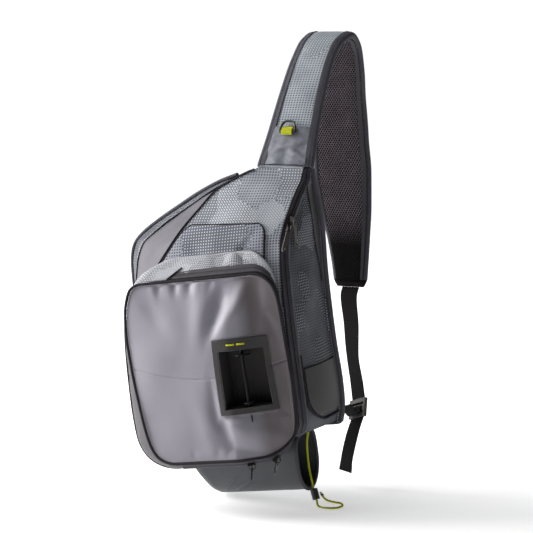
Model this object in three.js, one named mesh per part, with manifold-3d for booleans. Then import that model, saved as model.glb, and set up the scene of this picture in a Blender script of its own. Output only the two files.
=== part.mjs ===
// A fishing tackle sling bag, in millimetres, +Z up.
// The bag hangs from the top of its shoulder strap, so that point is the origin: the wearer's back is towards +Y
// and the pockets face -Y. The body is a hollow box of thin cloth walls with a padded back, a bellows pocket in
// front, a bottle sleeve along its foot and a padded strap that loops over the shoulder to a webbing tail.
import * as THREE from "three";
import { mergeVertices } from "three/addons/utils/BufferGeometryUtils.js";
import Module from "manifold-3d";

const wasm = await Module();
wasm.setup();

const degree = Math.PI / 180;
const seamGap = 0.4; // space between two pieces that are sewn or laid together

// Main compartment
const bodyWidth = 286;
const bodyHeight = 355;
const bodyDepth = 115;
const bagLean = 8 * degree; // the body hangs turned by this much about Y, as its strap leaves from one corner
const leanMiddle = { x: -9, z: 4.2 }; // where the body's own upright frame has its origin
const clothThickness = 2.2;
const backPadThickness = 9;
const zipBandWidth = 14;
const frontBulge = 6;
const sideBulge = 4;
const wingBulge = 3;
const bindingRadius = 3.4;

// Each row is one height: rise is its share of bodyHeight, the left and right columns are shares of bodyWidth
// from the middle, and depth (to the front) and back (how far the back leans forward) are shares of bodyDepth.
const bodySections = [
  { rise: 0.0, backLeft: -0.42, backRight: 0.455, frontLeft: -0.34, frontRight: 0.365, depth: 0.9, back: 0 },
  { rise: 0.05, backLeft: -0.47, backRight: 0.472, frontLeft: -0.357, frontRight: 0.395, depth: 0.97, back: 0 },
  { rise: 0.15, backLeft: -0.493, backRight: 0.477, frontLeft: -0.364, frontRight: 0.402, depth: 1.0, back: 0 },
  { rise: 0.35, backLeft: -0.507, backRight: 0.469, frontLeft: -0.364, frontRight: 0.402, depth: 1.0, back: 0 },
  { rise: 0.55, backLeft: -0.518, backRight: 0.471, frontLeft: -0.335, frontRight: 0.402, depth: 0.975, back: 0 },
  { rise: 0.66, backLeft: -0.512, backRight: 0.477, frontLeft: -0.24, frontRight: 0.399, depth: 0.905, back: 0 },
  { rise: 0.73, backLeft: -0.481, backRight: 0.484, frontLeft: -0.172, frontRight: 0.4, depth: 0.83, back: 0.01 },
  { rise: 0.79, backLeft: -0.365, backRight: 0.488, frontLeft: -0.112, frontRight: 0.412, depth: 0.73, back: 0.03 },
  { rise: 0.86, backLeft: -0.18, backRight: 0.49, frontLeft: -0.028, frontRight: 0.434, depth: 0.58, back: 0.06 },
  { rise: 0.92, backLeft: -0.012, backRight: 0.487, frontLeft: 0.05, frontRight: 0.458, depth: 0.46, back: 0.09 },
  { rise: 0.96, backLeft: 0.14, backRight: 0.486, frontLeft: 0.145, frontRight: 0.478, depth: 0.39, back: 0.11 },
  { rise: 1.0, backLeft: 0.25, backRight: 0.488, frontLeft: 0.26, frontRight: 0.486, depth: 0.35, back: 0.125 },
];
const wallRises = [0, 0.05, 0.15, 0.35, 0.55, 0.65, 0.72, 0.77, 0.82, 0.87, 0.92, 0.96, 1];

// Front pocket, as a bellows between a base outline on the body and a face outline
const pocketWidth = 212;
const pocketFaceBottom = 71;
const pocketFaceTop = 306;
const pocketBaseBottom = 86;
const pocketBaseTop = 338;
const pocketTopDepth = 136; // from the back of the bag to the face, at its top and bottom edges
const pocketBottomDepth = 176;
const pocketRightTopDepth = 131; // the same at the right edge, where the face turns back to the body
const pocketRightBottomDepth = 138;
const pocketBend = 44; // where the face starts to turn, from the body's middle
const pocketBendPower = 1.25;
const pocketFaceBulge = 8;
const gussetSwell = { left: 0.5, right: 0.06, top: 0.1, bottom: 0.36 }; // shares of the gusset's own depth
const pipingRadius = 1.9;
const pocketZipWidth = 11;
const pocketZipStart = -40;
const pocketColumns = 10;

// Each row is one height: rise is its share of the outline's height, the others are shares of pocketWidth.
const pocketOutlines = [
  { rise: 0.0, faceLeft: -0.235, faceRight: 0.4, baseLeft: -0.355, baseRight: 0.42 },
  { rise: 0.025, faceLeft: -0.302, faceRight: 0.46, baseLeft: -0.402, baseRight: 0.475 },
  { rise: 0.1, faceLeft: -0.358, faceRight: 0.54, baseLeft: -0.443, baseRight: 0.525 },
  { rise: 0.19, faceLeft: -0.388, faceRight: 0.558, baseLeft: -0.455, baseRight: 0.532 },
  { rise: 0.31, faceLeft: -0.415, faceRight: 0.56, baseLeft: -0.465, baseRight: 0.532 },
  { rise: 0.55, faceLeft: -0.462, faceRight: 0.549, baseLeft: -0.472, baseRight: 0.525 },
  { rise: 0.76, faceLeft: -0.486, faceRight: 0.537, baseLeft: -0.445, baseRight: 0.507 },
  { rise: 0.86, faceLeft: -0.482, faceRight: 0.527, baseLeft: -0.4, baseRight: 0.485 },
  { rise: 0.93, faceLeft: -0.465, faceRight: 0.505, baseLeft: -0.345, baseRight: 0.455 },
  { rise: 0.975, faceLeft: -0.445, faceRight: 0.465, baseLeft: -0.28, baseRight: 0.41 },
  { rise: 1.0, faceLeft: -0.41, faceRight: 0.42, baseLeft: -0.2, baseRight: 0.36 },
];

// Slip pocket above the front pocket
const slipPocket = { left: -18, right: 92, bottom: 240, top: 378 };
const slipTopDrop = 8; // how much lower its top is on the right
const slipThickness = 2;

// Spool window in the pocket's face, with a post that spools of line stand on
const windowOpening = { left: 34, right: 92, bottom: 136, top: 212 };
const windowFrameBorder = { side: 7, bottom: 7, top: 15 };
const windowFrameThickness = 1.4;
const wellDepth = 34;
const wellWall = 1.6;
const postRadius = 2.6;
const postDiscRadius = 8.5;
const postDiscThickness = 2.6;
const postSetBack = 12; // from the face to the post's axis
const postX = 60;
const windowTilt = Math.tan(4 * degree); // the window leans to the right as it goes down
const bungeeRadius = 1.1;

// Bottle sleeve
const sleeveRadius = 40;
const sleeveMiddle = -62; // Y of its axis
const sleeveMouth = 97;
const sleeveEndBottom = -36; // its closed end reaches further out above its foot
const sleeveEndReach = 46;
const sleeveWall = 2;
const mouthBindingRadius = 2;

// Shoulder strap. Each row is a place along it: along is a share of strapReach, up is a share of the height from
// the top of the bag to strapApex, and left and right are its edges as shares of strapWidth.
const strapReach = 230;
const strapApex = 633; // above the foot of the bag
const strapWidth = 82;
const strapPadThickness = 11;
const strapBindingRadius = 3.1;
const strapLiningThickness = 1.6;
const strapStartY = -27;
const strapRows = [
  { along: 0.0, up: 0.000, left: -0.02, right: 0.96 },
  { along: 0.1, up: 0.234, left: 0.05, right: 0.94 },
  { along: 0.24, up: 0.518, left: 0.1, right: 0.92 },
  { along: 0.378, up: 0.791, left: 0.17, right: 0.94 },
  { along: 0.487, up: 0.948, left: 0.24, right: 1.02 },
  { along: 0.587, up: 1.000, left: 0.3, right: 1.11 },
  { along: 0.7, up: 0.922, left: 0.33, right: 1.13 },
  { along: 0.804, up: 0.709, left: 0.25, right: 1.11 },
  { along: 0.891, up: 0.440, left: 0.12, right: 1.07 },
  { along: 0.952, up: 0.145, left: 0.02, right: 1.07 },
  { along: 0.983, up: -0.158, left: 0.03, right: 1.1 },
  { along: 0.991, up: -0.449, left: 0.13, right: 1.1 },
  { along: 0.983, up: -0.718, left: 0.27, right: 1.085 },
  { along: 0.97, up: -0.953, left: 0.38, right: 1.07 },
  { along: 0.965, up: -1.144, left: 0.44, right: 1.05 },
];
const strapSteps = 28;

// Webbing from the pad's end to the lock at the foot of the bag: its middle, and the way that its width runs
const webWidth = 26;
const webThickness = 1.8;
const webRoute = [
  { x: 61, y: 186, z: 247, acrossX: 1, acrossY: 0 },
  { x: 75, y: 155, z: 210, acrossX: 1, acrossY: -0.1 },
  { x: 92, y: 110, z: 172, acrossX: 0.95, acrossY: -0.3 },
  { x: 112, y: 68, z: 142, acrossX: 0.85, acrossY: -0.5 },
  { x: 123, y: 44, z: 124, acrossX: 0.78, acrossY: -0.6 },
];
const tailRoute = [
  { x: 126, y: 29, z: 98, acrossX: 0.78, acrossY: -0.6 },
  { x: 121, y: 27, z: 82, acrossX: 0.78, acrossY: -0.6 },
  { x: 116, y: 27, z: 62, acrossX: 0.78, acrossY: -0.6 },
  { x: 111, y: 29, z: 40, acrossX: 0.8, acrossY: -0.55 },
  { x: 108, y: 31, z: 20, acrossX: 0.8, acrossY: -0.5 },
];
const lockLength = 27;
const lockWidth = 33;
const lockThickness = 5;
const lockSlot = 3.6;

// Yellow tab at the top of the strap's plain patch, and the ring that it holds
const tabWidth = 15;
const tabThickness = 1.4;
const tabX = 36;
const tabPlace = 0.066; // of the ring's bar, along the strap
const tabRise = 8;
const ringWire = 1.7;
const ringOpening = { width: 18, height: 13 };

// Zip sliders: width, length and height of the body, its bridge, and the pull with its two holes
const sliderBody = { width: 7.5, length: 10, height: 3.4 };
const bridge = { wire: 0.7, start: -3.6, end: 3.8, top: 7.7, bar: 5.3 };
const pullPlate = { width: 7.2, thickness: 1.4, eyeWidth: 3.4, eyeLength: 5.6, barWidth: 1.4 };
const longPull = 36;
const shortPull = 19;

// Yellow shock cord that hangs from the bag's foot across the sleeve's mouth and lies in a loop on the ground
const cordRadius = 1.5;
const ground = -2;
const cordExit = { x: 107.5, y: -66 }; // in the body's own frame, under its floor
const cordDrop = [
  { x: 85, y: -68, z: 85 },
  { x: 86.5, y: -70, z: 69 },
  { x: 89.5, y: -71, z: 48 },
  { x: 95, y: -73, z: 27 },
];
const cordLoop = [
  { x: 106, y: -80 },
  { x: 122, y: -84 },
  { x: 133, y: -78 },
  { x: 136, y: -66 },
  { x: 130, y: -57 },
  { x: 121, y: -55 },
  { x: 109, y: -50 },
  { x: 99, y: -38 },
  { x: 95, y: -31 },
];
const cordLockSize = { radius: 5.2, length: 15 };
const cordTip = { radius: 2.2, length: 12 };

// Fly patch on the side
const patchThickness = 3.4;
const patchBottom = 0.055; // rises of its edges, as shares of bodyHeight
const patchTop = 0.245;
const patchFront = 0.06; // shares of the side wall, from the zip to the back
const patchRear = 0.97;
const patchCorner = 0.1;

const point = (x, y, z) => new THREE.Vector3(x, y, z);
const lerp = THREE.MathUtils.lerp;
const clamp = THREE.MathUtils.clamp;
const range = (count) => [...Array(count).keys()];

// Reads one column of a table at a share, smoothly and without overshoot.
function column(table, key, name, share) {
  const last = table.length - 1;
  const found = table.findIndex((row) => row[key] > share);
  const i = found < 0 ? last - 1 : Math.max(found - 1, 0);
  const slope = (j) => (table[j + 1][name] - table[j][name]) / (table[j + 1][key] - table[j][key]);
  const tangent = (j) => {
    if (j === 0) return slope(0);
    if (j === last) return slope(last - 1);
    const [before, after] = [slope(j - 1), slope(j)];
    return before * after <= 0 ? 0 : (2 * before * after) / (before + after);
  };
  const span = table[i + 1][key] - table[i][key];
  const t = clamp((share - table[i][key]) / span, 0, 1);
  return (
    (2 * t ** 3 - 3 * t ** 2 + 1) * table[i][name] +
    (t ** 3 - 2 * t ** 2 + t) * span * tangent(i) +
    (3 * t ** 2 - 2 * t ** 3) * table[i + 1][name] +
    (t ** 3 - t ** 2) * span * tangent(i + 1)
  );
}

// Closed geometry from points and triangle indices, turned so that its faces point out.
function facingOut(points, faces) {
  let volume = 0;
  for (let f = 0; f < faces.length; f += 3) {
    const [a, b, c] = [points[faces[f]], points[faces[f + 1]], points[faces[f + 2]]];
    volume += a.dot(point().crossVectors(b, c));
  }
  if (volume < 0) faces.reverse();
  const geometry = new THREE.BufferGeometry().setFromPoints(points);
  geometry.setIndex(faces);
  return geometry;
}

// A wall between two grids of points. With around, its columns close into a ring.
function slab(outer, inner, around = false) {
  const rows = outer.length;
  const columns = outer[0].length;
  const out = (r, c) => r * columns + (c % columns);
  const inn = (r, c) => rows * columns + out(r, c);
  const faces = [];
  const quad = (a, b, c, d) => faces.push(a, b, c, a, c, d);
  const lastColumn = around ? columns : columns - 1;
  for (let c = 0; c < lastColumn; c++) {
    for (let r = 0; r < rows - 1; r++) {
      quad(out(r, c), out(r, c + 1), out(r + 1, c + 1), out(r + 1, c));
      quad(inn(r, c), inn(r + 1, c), inn(r + 1, c + 1), inn(r, c + 1));
    }
    quad(out(0, c), inn(0, c), inn(0, c + 1), out(0, c + 1));
    quad(out(rows - 1, c), out(rows - 1, c + 1), inn(rows - 1, c + 1), inn(rows - 1, c));
  }
  if (!around) {
    const end = columns - 1;
    for (let r = 0; r < rows - 1; r++) {
      quad(out(r, 0), out(r + 1, 0), inn(r + 1, 0), inn(r, 0));
      quad(out(r, end), inn(r, end), inn(r + 1, end), out(r + 1, end));
    }
  }
  return facingOut([...outer.flat(), ...inner.flat()], faces);
}

// A solid through rings of points, closed at both ends.
function loft(rings) {
  const count = rings[0].length;
  const points = rings.flat();
  const faces = [];
  for (let r = 0; r < rings.length - 1; r++)
    for (let c = 0; c < count; c++) {
      const [a, b] = [r * count + c, r * count + ((c + 1) % count)];
      faces.push(a, b, b + count, a, b + count, a + count);
    }
  const cap = (ring, start, flip) => {
    const middle = points.length;
    points.push(ring.reduce((sum, p) => sum.add(p), point(0, 0, 0)).divideScalar(count));
    for (let c = 0; c < count; c++) {
      const [a, b] = [start + c, start + ((c + 1) % count)];
      if (flip) faces.push(b, a, middle);
      else faces.push(a, b, middle);
    }
  };
  cap(rings[0], 0, true);
  cap(rings[rings.length - 1], (rings.length - 1) * count, false);
  return facingOut(points, faces);
}

// A round bar along points.
function bead(points, radius, sides = 6, steps = points.length * 2, closed = false) {
  const path = new THREE.CatmullRomCurve3(points, closed, "centripetal");
  const circle = new THREE.Shape(
    range(sides).map((k) => {
      const turn = ((k + 0.5) / sides) * 2 * Math.PI;
      return new THREE.Vector2(radius * Math.cos(turn), radius * Math.sin(turn));
    }),
  );
  return new THREE.ExtrudeGeometry(circle, { steps, extrudePath: path });
}

function toSolid(geometry) {
  const bare = geometry.clone();
  bare.deleteAttribute("normal");
  bare.deleteAttribute("uv");
  const merged = mergeVertices(bare, 1e-3);
  return new wasm.Manifold(
    new wasm.Mesh({
      numProp: 3,
      vertProperties: new Float32Array(merged.attributes.position.array),
      triVerts: new Uint32Array(merged.index.array),
    }),
  );
}

function toGeometry(solid) {
  const mesh = solid.getMesh();
  const geometry = new THREE.BufferGeometry();
  geometry.setAttribute("position", new THREE.BufferAttribute(new Float32Array(mesh.vertProperties), 3));
  geometry.setIndex(new THREE.BufferAttribute(new Uint32Array(mesh.triVerts), 1));
  return geometry;
}

const cut = (body, ...tools) => toGeometry(tools.reduce((left, tool) => left.subtract(toSolid(tool)), toSolid(body)));
const join = (...pieces) => toGeometry(pieces.map(toSolid).reduce((sum, piece) => sum.add(piece)));

// A box between two corners.
function block(low, high) {
  const size = point().subVectors(high, low);
  const geometry = new THREE.BoxGeometry(size.x, size.y, size.z);
  return geometry.translate(low.x + size.x / 2, low.y + size.y / 2, low.z + size.z / 2);
}

const finish = (colour, roughness, metalness = 0) => new THREE.MeshStandardMaterial({ color: colour, roughness, metalness });
const materials = {
  dotCloth: finish(0x858d93, 0.85),
  darkDotCloth: finish(0x4a4a52, 0.85),
  coatedCloth: finish(0x7d7a82, 0.6),
  binding: finish(0x55565e, 0.8),
  darkTape: finish(0x4a474d, 0.8),
  padMesh: finish(0x3a3033, 0.95),
  sleeveCloth: finish(0x50585a, 0.55),
  charcoal: finish(0x35373a, 0.7),
  webbing: finish(0x252023, 0.85),
  hardPlastic: finish(0x2c2c2e, 0.45),
  metal: finish(0x6b6863, 0.4, 0.8),
  yellow: finish(0xc9cc3c, 0.7),
};

const bag = new THREE.Group(); // origin on the shoulder, under the top of the strap
const standing = new THREE.Group(); // origin at the foot of the bag
const leaned = new THREE.Group(); // the body's own upright frame
bag.add(standing);
standing.add(leaned);
leaned.rotation.y = -bagLean;
leaned.position.set(leanMiddle.x, 0, leanMiddle.z);
leaned.updateMatrix();

const toStanding = (p) => p.clone().applyMatrix4(leaned.matrix);

function piece(name, geometry, material, group = leaned) {
  const mesh = new THREE.Mesh(geometry, materials[material]);
  mesh.name = name;
  group.add(mesh);
  return mesh;
}

// The body

const floorBottom = 2 * sleeveRadius + mouthBindingRadius - sleeveWall / 2 + seamGap;
const wallBottom = floorBottom + clothThickness + seamGap;
const section = (rise, name) => column(bodySections, "rise", name, rise);
const topMiddle = ((bodySections.at(-1).backLeft + bodySections.at(-1).backRight) / 2) * bodyWidth;

// Height of a wall point. The top edge is level once the body leans, so it slants in the body's own frame.
const wallZ = (rise, x) => wallBottom + rise * bodyHeight - rise ** 4 * Math.tan(bagLean) * (x - topMiddle);

// The rise at which a wall reaches height z at x.
function riseAt(x, z) {
  let rise = 0.5;
  for (let i = 0; i < 12; i++) {
    const slant = clamp(rise, 0, 1) ** 4 * Math.tan(bagLean) * (x - topMiddle);
    rise = (z - wallBottom + slant) / bodyHeight;
  }
  return clamp(rise, 0, 1);
}

// Corners of one level section, from the back left round the front to the back right, moved in by inset.
function sectionCorners(rise, inset) {
  const x = (name) => section(rise, name) * bodyWidth;
  const front = -section(rise, "depth") * bodyDepth;
  const back = -section(rise, "back") * bodyDepth - backPadThickness - seamGap;
  const turn = 60 * degree; // of the zip band, away from the front
  const corners = [
    new THREE.Vector2(x("backLeft"), back),
    new THREE.Vector2(x("frontLeft"), front),
    new THREE.Vector2(x("frontRight"), front),
    new THREE.Vector2(x("frontRight") + zipBandWidth * Math.cos(turn), front + zipBandWidth * Math.sin(turn)),
    new THREE.Vector2(x("backRight"), back),
  ];
  const edges = range(4).map((i) => {
    const along = corners[i + 1].clone().sub(corners[i]).normalize();
    const start = corners[i].clone().add(new THREE.Vector2(-along.y, along.x).multiplyScalar(inset));
    return { start, along };
  });
  const meet = (a, b) => {
    const offset = b.start.clone().sub(a.start);
    const share = offset.cross(b.along) / a.along.cross(b.along);
    return a.start.clone().addScaledVector(a.along, share);
  };
  const backLine = { start: new THREE.Vector2(0, back), along: new THREE.Vector2(1, 0) };
  return [
    meet(edges[0], backLine),
    meet(edges[0], edges[1]),
    meet(edges[1], edges[2]),
    meet(edges[2], edges[3]),
    meet(edges[3], backLine),
  ];
}

const wallEdges = {
  wing: { index: 0, bulge: wingBulge },
  front: { index: 1, bulge: frontBulge },
  zip: { index: 2, bulge: 0 },
  side: { index: 3, bulge: sideBulge },
};

// A point of a wall: share runs along it from left to right, and inset goes into the bag.
function wallPoint(wall, rise, share, inset = 0) {
  const { index, bulge } = wallEdges[wall];
  const corners = sectionCorners(rise, inset);
  const [a, b] = [corners[index], corners[index + 1]];
  const along = b.clone().sub(a).normalize();
  const swell = bulge * Math.sin(Math.PI * share) * (1 - rise ** 6);
  const x = lerp(a.x, b.x, share) + along.y * swell;
  const y = lerp(a.y, b.y, share) - along.x * swell;
  return point(x, y, wallZ(rise, x));
}

function wallLength(wall, rise) {
  const { index } = wallEdges[wall];
  const corners = sectionCorners(rise, 0);
  return corners[index].distanceTo(corners[index + 1]);
}

// One sewn wall of the body, trimmed at its seams.
function wallPanel(wall, columns, thickness = clothThickness) {
  const grid = (inset) =>
    wallRises.map((rise) => {
      const trim = seamGap / 2 / wallLength(wall, rise);
      return range(columns + 1).map((c) => wallPoint(wall, rise, lerp(trim, 1 - trim, c / columns), inset));
    });
  return slab(grid(0), grid(thickness));
}

piece("front_panel", wallPanel("front", 7), "dotCloth");
piece("wing_panel", wallPanel("wing", 4), "coatedCloth");
piece("side_panel", wallPanel("side", 5), "darkDotCloth");
piece("main_zip_tape", wallPanel("zip", 2), "darkTape");

// The padded back
function backPoint(rise, share, inset) {
  const x = lerp(section(rise, "backLeft"), section(rise, "backRight"), share) * bodyWidth;
  return point(x, -section(rise, "back") * bodyDepth - inset, wallZ(rise, x));
}
const backGrid = (inset) => wallRises.map((rise) => range(7).map((c) => backPoint(rise, c / 6, inset)));
piece("back_panel", slab(backGrid(0), backGrid(backPadThickness)), "padMesh");

// Binding round the back's edge, from the wing's top down and round to the strap
const bindingOffset = bindingRadius + seamGap + 1.5;
const bindingAt = (rise, side, sign) => {
  const here = backPoint(rise, side, backPadThickness * 0.55);
  const ahead = backPoint(Math.min(rise + 0.01, 1), side, 0);
  const behind = backPoint(Math.max(rise - 0.01, 0), side, 0);
  const edge = ahead.sub(behind);
  const out = point(sign * edge.z, 0, -sign * edge.x).normalize();
  return here.addScaledVector(out, bindingOffset);
};
const bindingRises = [0.99, 0.965, 0.93, 0.89, 0.85, 0.8, 0.76, 0.73, 0.69, 0.6, 0.45, 0.3, 0.16, 0.08, 0.03, 0];
const bindingBottom = range(5).map((k) => {
  const p = backPoint(0, (k + 1) / 6, backPadThickness * 0.55);
  return p.setZ(p.z - bindingOffset);
});
const bindingCorner = (side, sign) => {
  const p = backPoint(0, side, backPadThickness * 0.55);
  return p.add(point(sign * bindingOffset * 0.85, 0, -bindingOffset * 0.85));
};
const bindingPath = [
  ...bindingRises.filter((rise) => rise < 0.94).map((rise) => bindingAt(rise, 0, -1)),
  bindingCorner(0, -1),
  ...bindingBottom,
  bindingCorner(1, 1),
  ...[...bindingRises].reverse().map((rise) => bindingAt(rise, 1, 1)),
];
piece("back_binding", bead(bindingPath, bindingRadius, 5, 65), "binding");

// The compartment's closed top, between the front's top edge and the back pad
const topGrid = (lift) =>
  [0, 1].map((r) =>
    range(7).map((c) => {
      const front = wallPoint("front", 1, c / 6, 0);
      const back = -section(1, "back") * bodyDepth - backPadThickness;
      return point(front.x, lerp(front.y, back, r), front.z + lift);
    }),
  );
piece("top_panel", slab(topGrid(seamGap + clothThickness), topGrid(seamGap)), "dotCloth");

// The compartment's floor, cut to the same outline as the walls
const floorGrid = (z) => {
  const corners = sectionCorners(0, 0);
  return range(4).map((r) => {
    const share = r / 3;
    const left = corners[0].clone().lerp(corners[1], share);
    const right = corners[4].clone().lerp(corners[2], share);
    return range(9).map((c) => {
      const across = c / 8;
      const swell = r === 3 ? frontBulge * Math.sin(Math.PI * across) : 0;
      return point(lerp(left.x, right.x, across), lerp(left.y, right.y, across) - swell, z);
    });
  });
};
piece("floor_panel", slab(floorGrid(floorBottom + clothThickness), floorGrid(floorBottom)), "sleeveCloth");

// The front pocket

// A grid of x and z over one of the two outlines.
function outlineGrid(side, bottom, top) {
  return pocketOutlines.map((row) => {
    const [left, right] = [row[side + "Left"] * pocketWidth, row[side + "Right"] * pocketWidth];
    const z = lerp(bottom, top, row.rise);
    return range(pocketColumns + 1).map((c) => ({ x: lerp(left, right, c / pocketColumns), z }));
  });
}

// A grid of x and z over a rectangle.
function boxGrid({ left, right, bottom, top }, rows, columns) {
  return range(rows + 1).map((r) =>
    range(columns + 1).map((c) => ({ x: lerp(left, right, c / columns), z: lerp(bottom, top, r / rows) })),
  );
}

// The points round a grid's edge, starting at its lower left and going right.
function gridEdge(grid) {
  const last = grid.length - 1;
  const end = grid[0].length - 1;
  return [
    ...grid[0].slice(0, end),
    ...grid.slice(0, last).map((row) => row[end]),
    ...grid[last].slice(1).reverse(),
    ...grid.slice(1).map((row) => row[0]).reverse(),
  ];
}

function faceY(x, z) {
  const drop = clamp((pocketFaceTop - z) / (pocketFaceTop - pocketFaceBottom), 0, 1);
  const flat = lerp(pocketTopDepth, pocketBottomDepth, drop);
  const right = lerp(pocketRightTopDepth, pocketRightBottomDepth, drop);
  const turn = clamp((x - pocketBend) / (pocketWidth * 0.54 - pocketBend), 0, 1) ** pocketBendPower;
  const across = clamp(x / pocketWidth + 0.48, 0, 1);
  const swell = pocketFaceBulge * Math.sin(Math.PI * across) * Math.sin(Math.PI * drop);
  return -lerp(flat, right, turn) - swell;
}

// The front of the body, carried on flat past its corners.
function frontY(x, z) {
  const rise = riseAt(x, z);
  const [, left, right] = sectionCorners(rise, 0);
  const share = clamp((x - left.x) / (right.x - left.x), 0, 1);
  return left.y - frontBulge * Math.sin(Math.PI * share) * (1 - rise ** 6);
}

const baseGap = 0.6;
const pocketBackThickness = 1.2;
const faceGrid = outlineGrid("face", pocketFaceBottom, pocketFaceTop);
const baseGrid = outlineGrid("base", pocketBaseBottom, pocketBaseTop);
const onFace = (grid, offset) => grid.map((row) => row.map(({ x, z }) => point(x, faceY(x, z) + offset, z)));
const onFront = (grid, offset) => grid.map((row) => row.map(({ x, z }) => point(x, frontY(x, z) + offset, z)));

const backOfPocket = baseGap + slipThickness + 3 * seamGap;
piece(
  "pocket_back",
  slab(onFront(baseGrid, -backOfPocket - pocketBackThickness), onFront(baseGrid, -backOfPocket)),
  "sleeveCloth",
);

// The window's pieces are set out upright, then sheared to its tilt about its middle.
const windowMiddle = (windowOpening.bottom + windowOpening.top) / 2;
const tilted = (x, z) => x + (windowMiddle - z) * windowTilt;
const tiltedGrid = (grid) => grid.map((row) => row.map(({ x, z }) => ({ x: tilted(x, z), z })));
const tiltMatrix = new THREE.Matrix4().makeShear(0, 0, 0, 0, -windowTilt, 0).setPosition(windowMiddle * windowTilt, 0, 0);
const openingTool = block(
  point(windowOpening.left, -pocketBottomDepth - 40, windowOpening.bottom),
  point(windowOpening.right, -bodyDepth, windowOpening.top),
).applyMatrix4(tiltMatrix);
const faceSlab = slab(onFace(faceGrid, 0), onFace(faceGrid, clothThickness));
piece("pocket_face", cut(faceSlab, openingTool), "coatedCloth");

// Gusset: rows run from the base to the face, and it swells outwards between them.
const baseLoop = gridEdge(baseGrid);
const faceLoop = gridEdge(faceGrid);
const loopNormals = (loop) =>
  loop.map((_, i) => {
    const before = loop.at(i - 1);
    const after = loop[(i + 1) % loop.length];
    return new THREE.Vector2(after.z - before.z, before.x - after.x).normalize();
  });
const baseNormals = loopNormals(baseLoop);
const faceNormals = loopNormals(faceLoop);

function gussetPoint(i, share, out) {
  const [base, face] = [baseLoop[i], faceLoop[i]];
  const normal = baseNormals[i].clone().lerp(faceNormals[i], share).normalize();
  const front = frontY(base.x + baseNormals[i].x * out, base.z + baseNormals[i].y * out);
  const start = front - backOfPocket - pocketBackThickness - 2 * seamGap;
  const faceAt = faceY(face.x + faceNormals[i].x * out, face.z + faceNormals[i].y * out);
  const end = faceAt + clothThickness + 2 * seamGap;
  const sideSwell = normal.x < 0 ? gussetSwell.left : gussetSwell.right;
  const endSwell = normal.y < 0 ? gussetSwell.bottom : gussetSwell.top;
  const swellShare = sideSwell * normal.x ** 2 + endSwell * normal.y ** 2;
  const swell = swellShare * Math.abs(end - start) * Math.sin(Math.PI * share) + out;
  const x = lerp(base.x, face.x, share) + normal.x * swell;
  const z = lerp(base.z, face.z, share) + normal.y * swell;
  return point(x, lerp(start, end, share), z);
}
const gussetShares = [0, 0.2, 0.5, 0.8, 1];
const gussetRing = (out) => gussetShares.map((share) => baseLoop.map((_, i) => gussetPoint(i, share, out)));
piece("pocket_gusset", slab(gussetRing(0), gussetRing(-clothThickness), true), "dotCloth");

// Piping round the face
const pipingPath = faceLoop.map(({ x, z }, i) => {
  const out = pipingRadius + 1.5 * seamGap;
  const [px, pz] = [x + faceNormals[i].x * out, z + faceNormals[i].y * out];
  return point(px, faceY(x, z) - pipingRadius * 0.3, pz);
});
piece("pocket_piping", bead(pipingPath, pipingRadius, 5, 54, true), "darkTape");

// Zip tape over the gusset, along the top, down the right side and back along the bottom
const gussetDepthAt = (i) => gussetPoint(i, 0, 0).distanceTo(gussetPoint(i, 1, 0));
const zipColumns = range(baseLoop.length).filter((i) => {
  const { x, z } = faceLoop[i];
  const middle = (pocketFaceBottom + pocketFaceTop) / 2;
  return z > middle ? x > pocketZipStart : x > -pocketWidth * 0.18;
});
const zipLift = 5 * seamGap;
const zipTape = (out) =>
  zipColumns.map((i) => {
    const frontEdge = 0.93;
    const width = Math.min(pocketZipWidth / gussetDepthAt(i), 0.6);
    return range(4).map((k) => gussetPoint(i, frontEdge - (width * k) / 3, out));
  });
piece("pocket_zip_tape", slab(zipTape(zipLift + 1), zipTape(zipLift)), "darkTape");

// Slip pocket: a flat pocket on the front panel, behind the front pocket and above it
const slipGrid = (out) =>
  range(8).map((r) => {
    const z = lerp(slipPocket.bottom, slipPocket.top, r / 7);
    const [, frontLeft] = sectionCorners(riseAt(slipPocket.left, z), 0);
    const shoulder = Math.max(0, z - (slipPocket.top - 14)) ** 2 * 0.04;
    const left = frontLeft.x + 3 + shoulder;
    const right = slipPocket.right - shoulder;
    return range(6).map((c) => {
      const x = lerp(left, right, c / 5);
      const height = z - (slipTopDrop * r * c) / 35;
      return point(x, frontY(x, height) - out, height);
    });
  });
piece("slip_pocket", slab(slipGrid(baseGap + slipThickness), slipGrid(baseGap)), "dotCloth");

// The spool window

const frameBox = {
  left: windowOpening.left - windowFrameBorder.side,
  right: windowOpening.right + windowFrameBorder.side,
  bottom: windowOpening.bottom - windowFrameBorder.bottom,
  top: windowOpening.top + windowFrameBorder.top,
};
const frameGrid = tiltedGrid(boxGrid(frameBox, 6, 6));
const frameLift = 2 * seamGap;
const frameSlab = slab(onFace(frameGrid, -frameLift - windowFrameThickness), onFace(frameGrid, -frameLift));
piece("window_frame", cut(frameSlab, openingTool), "charcoal");

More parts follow.
